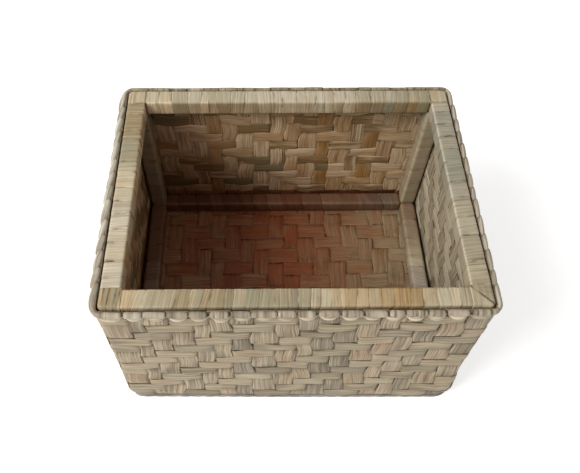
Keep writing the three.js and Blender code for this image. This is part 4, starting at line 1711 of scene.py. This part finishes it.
@dataclass
class CornerPatch:
    """Leaf folded over one rim corner."""

    dresser: Dresser
    end: Wall
    side: Wall
    lay: CornerLay
    seed: int
    sizes: BoxSizes = SIZES
    skirt: float = 8.0
    margin: float = 0.6
    thickness: float = 0.9
    round_over: float = 3.0
    corner_round: float = 4.0
    crease_depth: float = 0.45
    crease_shade: float = 0.9
    cells: int = 34

    def __post_init__(self) -> None:
        """Draw a grid of distances from the inner corner, wide along X and deep along Y."""
        spacing = np.linspace(-self.margin, self.sizes.rail_width + self.skirt, self.cells)
        self.wide, self.deep = np.meshgrid(spacing, spacing, indexing="ij")

    def build(self) -> None:
        """Build the patch as a thin closed slab."""
        top, under = self._fold(0.0), self._fold(self.thickness)
        lay = np.stack([*self._fibres(), np.full_like(self.wide, float(self.seed))], axis=-1)
        warm = np.full_like(self.wide, 0.4 if self.lay is CornerLay.THROUGH else 0.05)
        # Painted shade in the creases of the patch.
        hue = np.stack([self._tone(), warm, self.crease_shade * self._crease()], axis=-1)
        if self.side.sign * self.end.sign < 0:
            top, under, lay, hue = (np.swapaxes(grid, 0, 1) for grid in (top, under, lay, hue))
        batch = Batch()
        batch.slab(top, under, lay, hue)
        node = f"corner_patch_{self.end.title}_{self.side.title}"
        self.dresser.dress(batch, f"{node}_leaf", "rim_leaf", node)

    def _tone(self) -> Array:
        """Tone of the leaf on the patch.

        Returns:
            Tone at each place.
        """
        if self.lay is CornerLay.MITRE:
            return np.where(self.wide > self.deep, 0.3, 0.45)
        if self.lay is CornerLay.THROUGH:
            return 0.2 + 0.08 * np.sin(self.wide * 0.9 + 0.6)
        return np.full_like(self.wide, 0.62)

    def _crease(self) -> Array:
        """Folds in the patch: the mitre, seams between strips, or the patch's inner edges.

        Returns:
            Share of the folds' depth at each place.
        """
        if self.lay is CornerLay.MITRE:
            return np.exp(-((self.wide - self.deep) / 1.1) ** 2)
        if self.lay is CornerLay.THROUGH:
            leaning = self.wide - 0.08 * self.deep
            return sum(np.exp(-((leaning - at) / 0.5) ** 2) for at in (0.6, 3.4, 8.7, 12.9))
        return np.exp(-((self.deep - 0.3) / 0.7) ** 2) + np.exp(-((self.wide - 0.3) / 0.7) ** 2)

    def _fibres(self) -> tuple[Array, Array]:
        """Way of the fibres, which turns at a mitre.

        Returns:
            Distances along and across the fibres.
        """
        if self.lay is CornerLay.MITRE:
            return np.maximum(self.wide, self.deep), np.minimum(self.wide, self.deep)
        return self.deep, self.wide

    def _fold(self, depth: float) -> Array:
        """Fold a flat sheet over the corner.

        Args:
            depth: Distance under the outer face.

        Returns:
            Grid of points.
        """
        sizes = self.sizes
        rng = np.random.default_rng(self.seed)
        radius, over = self.corner_round, self.round_over
        inner = sizes.rail_width - radius
        past_x, past_y = self.wide - inner, self.deep - inner
        corner = (past_x > 0) & (past_y > 0)
        length = np.hypot(past_x, past_y) + 1e-9
        way_x = np.where(corner, past_x / length, np.where(past_x >= past_y, 1.0, 0.0))
        way_y = np.where(corner, past_y / length, np.where(past_x >= past_y, 0.0, 1.0))
        past = np.where(corner, length, np.maximum(past_x, past_y)) - radius + over
        turn = np.clip(past / over, 0, math.pi / 2)
        drop = np.maximum(past - over * math.pi / 2, 0)
        pull = np.where(past > 0, past - over * np.sin(turn), 0.0)
        level = sizes.rim_height - 0.2 - over * (1 - np.cos(turn)) - drop
        level += 0.12 * np.sin(self.wide * 1.3 + rng.uniform(0, 6)) - self.crease_depth * self._crease()
        pull = pull + depth * np.sin(turn)
        x = sizes.frame_width / 2 - sizes.rail_width + self.wide - way_x * pull
        y = sizes.frame_depth / 2 - sizes.rail_width + self.deep - way_y * pull
        return np.stack([self.side.sign * x, self.end.sign * y, level - depth * np.cos(turn)], axis=-1)


@dataclass
class Border:
    """Two twined strands that bind the stakes below their folded ends."""

    dresser: Dresser
    plane: WallPlane
    sizes: BoxSizes = SIZES
    seed: int = 71
    per_stake: int = 12
    behind_bead: float = 1.2
    dive: Dive = Dive(ease=5.5, early=0.0, reach=8.0)

    def build(self) -> None:
        """Build both strands."""
        for phase, title in enumerate(("first", "second")):
            batch = Batch()
            batch.strip(self._strand(phase))
            self.dresser.dress(batch, f"border_strand_{title}_leaf", "border_leaf", f"border_strand_{title}")

    def _strand(self, phase: int) -> Strip:
        """One strand, outside every other stake.

        Args:
            phase: 0 or 1, which stakes it passes outside.

        Returns:
            The closed strand.
        """
        rng = np.random.default_rng(self.seed + phase)
        middles, length = self.plane.middles, self.plane.length
        count = len(middles)
        states = np.where((np.arange(count) + phase) % 2 == 0, 1.0, -1.0)
        share = np.arange(count * self.per_stake) / self.per_stake
        knots = np.concatenate([middles, [middles[0] + length]])
        places = np.interp(share, np.arange(count + 1), knots)
        gaps = (knots[:-1] + knots[1:]) / 2
        side = self.dive.follow(places, gaps, states, rng, length).side
        outside = side > 0
        local = share - np.round(share)
        near = np.round(share).astype(int) % count
        full = np.where(outside, np.maximum(np.cos(math.pi * local), 0.0) ** 0.6, 0.0)
        plump = rng.uniform(0.7, 1.12, count)[near]
        bulge = self.plane.blend(self.sizes.bead_reach, places) - self.behind_bead
        offset = np.where(outside, side * (0.4 + (bulge - 0.4) * full * plump), side)
        rise = np.where(outside, 1.0, -1.0) * local * 1.2
        height = self.sizes.twine_middle + rise + 0.2 * wander(rng, places, loop=length)
        return Strip(
            centre=np.column_stack([places, offset, height]),
            half_width=np.where(outside, 0.7 + 1.9 * full * plump, 1.0),
            thickness=np.where(outside, 0.8 + 1.9 * full, 0.8), bow=0.3 * full,
            # Painted shade where the strand turns in behind the stakes.
            tone=rng.uniform(0.3, 0.72, count)[near], warm_out=0.02, warm_in=0.3, dive=0.5 * (1 - full),
            seed=400.0 + phase, pleat=0.05, closed=True, wrap=self.plane,
        )


@dataclass
class FootCord:
    """Two-ply twisted leaf cord round the edge of the base."""

    dresser: Dresser
    plane: WallPlane
    sizes: BoxSizes = SIZES
    seed: int = 81
    lay_length: float = 24.0
    step: float = 1.6
    ply_share: float = 0.84

    def build(self) -> None:
        """Twist both plies into one piece."""
        batch = Batch()
        rng = np.random.default_rng(self.seed)
        length = self.plane.length
        count = int(length / self.step)
        places = np.arange(count) * length / count
        turns = round(length / self.lay_length)
        ply = self.sizes.cord_radius * self.ply_share
        swing = self.sizes.cord_radius - ply
        middle = self.sizes.cord_clear + self.sizes.cord_radius
        for phase in (0.0, math.pi):
            angle = 2 * math.pi * turns * places / length + phase
            offset = self.sizes.cord_stand + swing * np.cos(angle)
            batch.strip(Strip(
                centre=np.column_stack([places, offset, middle + swing * np.sin(angle)]), half_width=ply,
                thickness=2 * ply, tone=0.5 + 0.4 * wander(rng, places, loop=length), warm_out=0.3,
                warm_in=0.3, seed=500.0 + phase, closed=True, section=Section.ROUND, wrap=self.plane,
            ))
        self.dresser.dress(batch, "foot_cord_leaf", "cord_leaf", "foot_cord")


@dataclass(frozen=True)
class SoftLight:
    """One large soft lamp aimed at the box."""

    name: str
    place: Triple
    size: float
    power: float
    colour: Triple = (1.0, 1.0, 1.0)
    target: Triple = (0.0, 0.0, 0.09)

    def add(self) -> None:
        """Put the lamp in the scene."""
        lamp = bpy.data.lights.new(self.name, "AREA")
        lamp.shape = "SQUARE"
        lamp.size = self.size
        lamp.energy = self.power
        lamp.color = self.colour
        holder = bpy.data.objects.new(self.name, lamp)
        holder.location = self.place
        aim = Vector(self.target) - Vector(self.place)
        holder.rotation_euler = aim.to_track_quat("-Z", "Y").to_euler()
        bpy.context.scene.collection.objects.link(holder)


@dataclass
class Studio:
    """Pale floor, even light all round, a soft lamp and the camera."""

    camera_place: Triple = (-0.0290, -0.3343, 0.6024)
    pitch: float = 56.204
    yaw: float = -1.218
    roll: float = 0.65
    lens: float = 39.54
    sensor: float = 36.0
    shift: Pair = (0.042, -0.0027)
    nearest: float = 0.01
    floor_half: float = 3.0
    world_light: float = 0.55
    lamp: SoftLight = SoftLight("key", (-1.35, -0.6, 1.45), 1.1, 44.0)

    def build(self) -> None:
        """Set up floor, light and camera."""
        self._floor()
        self._world()
        self.lamp.add()
        self._camera()

    def _floor(self) -> None:
        """Lay the pale floor under the box."""
        half = self.floor_half
        corners = [(-half, -half, 0), (half, -half, 0), (half, half, 0), (-half, half, 0)]
        mesh = bpy.data.meshes.new("floor")
        mesh.from_pydata(corners, [], [(0, 1, 2, 3)])
        mesh.materials.append(FloorFinish().material())
        floor = bpy.data.objects.new("floor", mesh)
        bpy.context.scene.collection.objects.link(floor)

    def _world(self) -> None:
        """Fill the scene with even pale light."""
        world = bpy.data.worlds.new("studio")
        world.use_nodes = True
        back = world.node_tree.nodes["Background"]
        back.inputs["Color"].default_value = (1.0, 1.0, 1.0, 1.0)
        back.inputs["Strength"].default_value = self.world_light
        bpy.context.scene.world = world
        bpy.context.scene.view_settings.view_transform = "Standard"

    def _camera(self) -> None:
        """Look at the box from the height and angle of the photograph."""
        pitch, yaw, roll = (math.radians(angle) for angle in (self.pitch, self.yaw, self.roll))
        level_share = math.cos(pitch)
        forward = Vector((-math.sin(yaw) * level_share, math.cos(yaw) * level_share, -math.sin(pitch)))
        level = Vector((math.cos(yaw), math.sin(yaw), 0.0))
        above = level.cross(forward)
        right = level * math.cos(roll) + above * math.sin(roll)
        up = above * math.cos(roll) - level * math.sin(roll)
        lens = bpy.data.cameras.new("camera")
        lens.lens = self.lens
        lens.sensor_width = self.sensor
        lens.shift_x, lens.shift_y = self.shift
        lens.clip_start = self.nearest
        camera = bpy.data.objects.new("camera", lens)
        turn = Matrix((right, up, -forward)).transposed().to_4x4()
        camera.matrix_world = Matrix.Translation(self.camera_place) @ turn
        bpy.context.scene.collection.objects.link(camera)
        bpy.context.scene.camera = camera


def main() -> None:
    """Build the studio and every sub-assembly, and report each piece."""
    logging.basicConfig(level=logging.INFO, format="%(name)s %(message)s")
    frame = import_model()
    Studio().build()
    dresser = Dresser()
    plane = WallPlane()
    twill = Twill()
    walls = WovenWalls(dresser, plane, twill)
    walls.build_wefts()
    walls.build_stakes()
    WovenBase(dresser, plane, twill).build()
    wound = WoundFrame(dresser)
    wound.build()
    wound.dress_battens(frame["nodes"])
    corners = (
        (Wall.FRONT, Wall.LEFT, CornerLay.THROUGH),
        (Wall.FRONT, Wall.RIGHT, CornerLay.MITRE),
        (Wall.BACK, Wall.LEFT, CornerLay.PATCH),
        (Wall.BACK, Wall.RIGHT, CornerLay.PATCH),
    )
    for number, (end, side, lay) in enumerate(corners):
        CornerPatch(dresser, end, side, lay, PATCH_SEED + number).build()
    Border(dresser, plane).build()
    FootCord(dresser, plane).build()


if __name__ == "__main__":
    main()
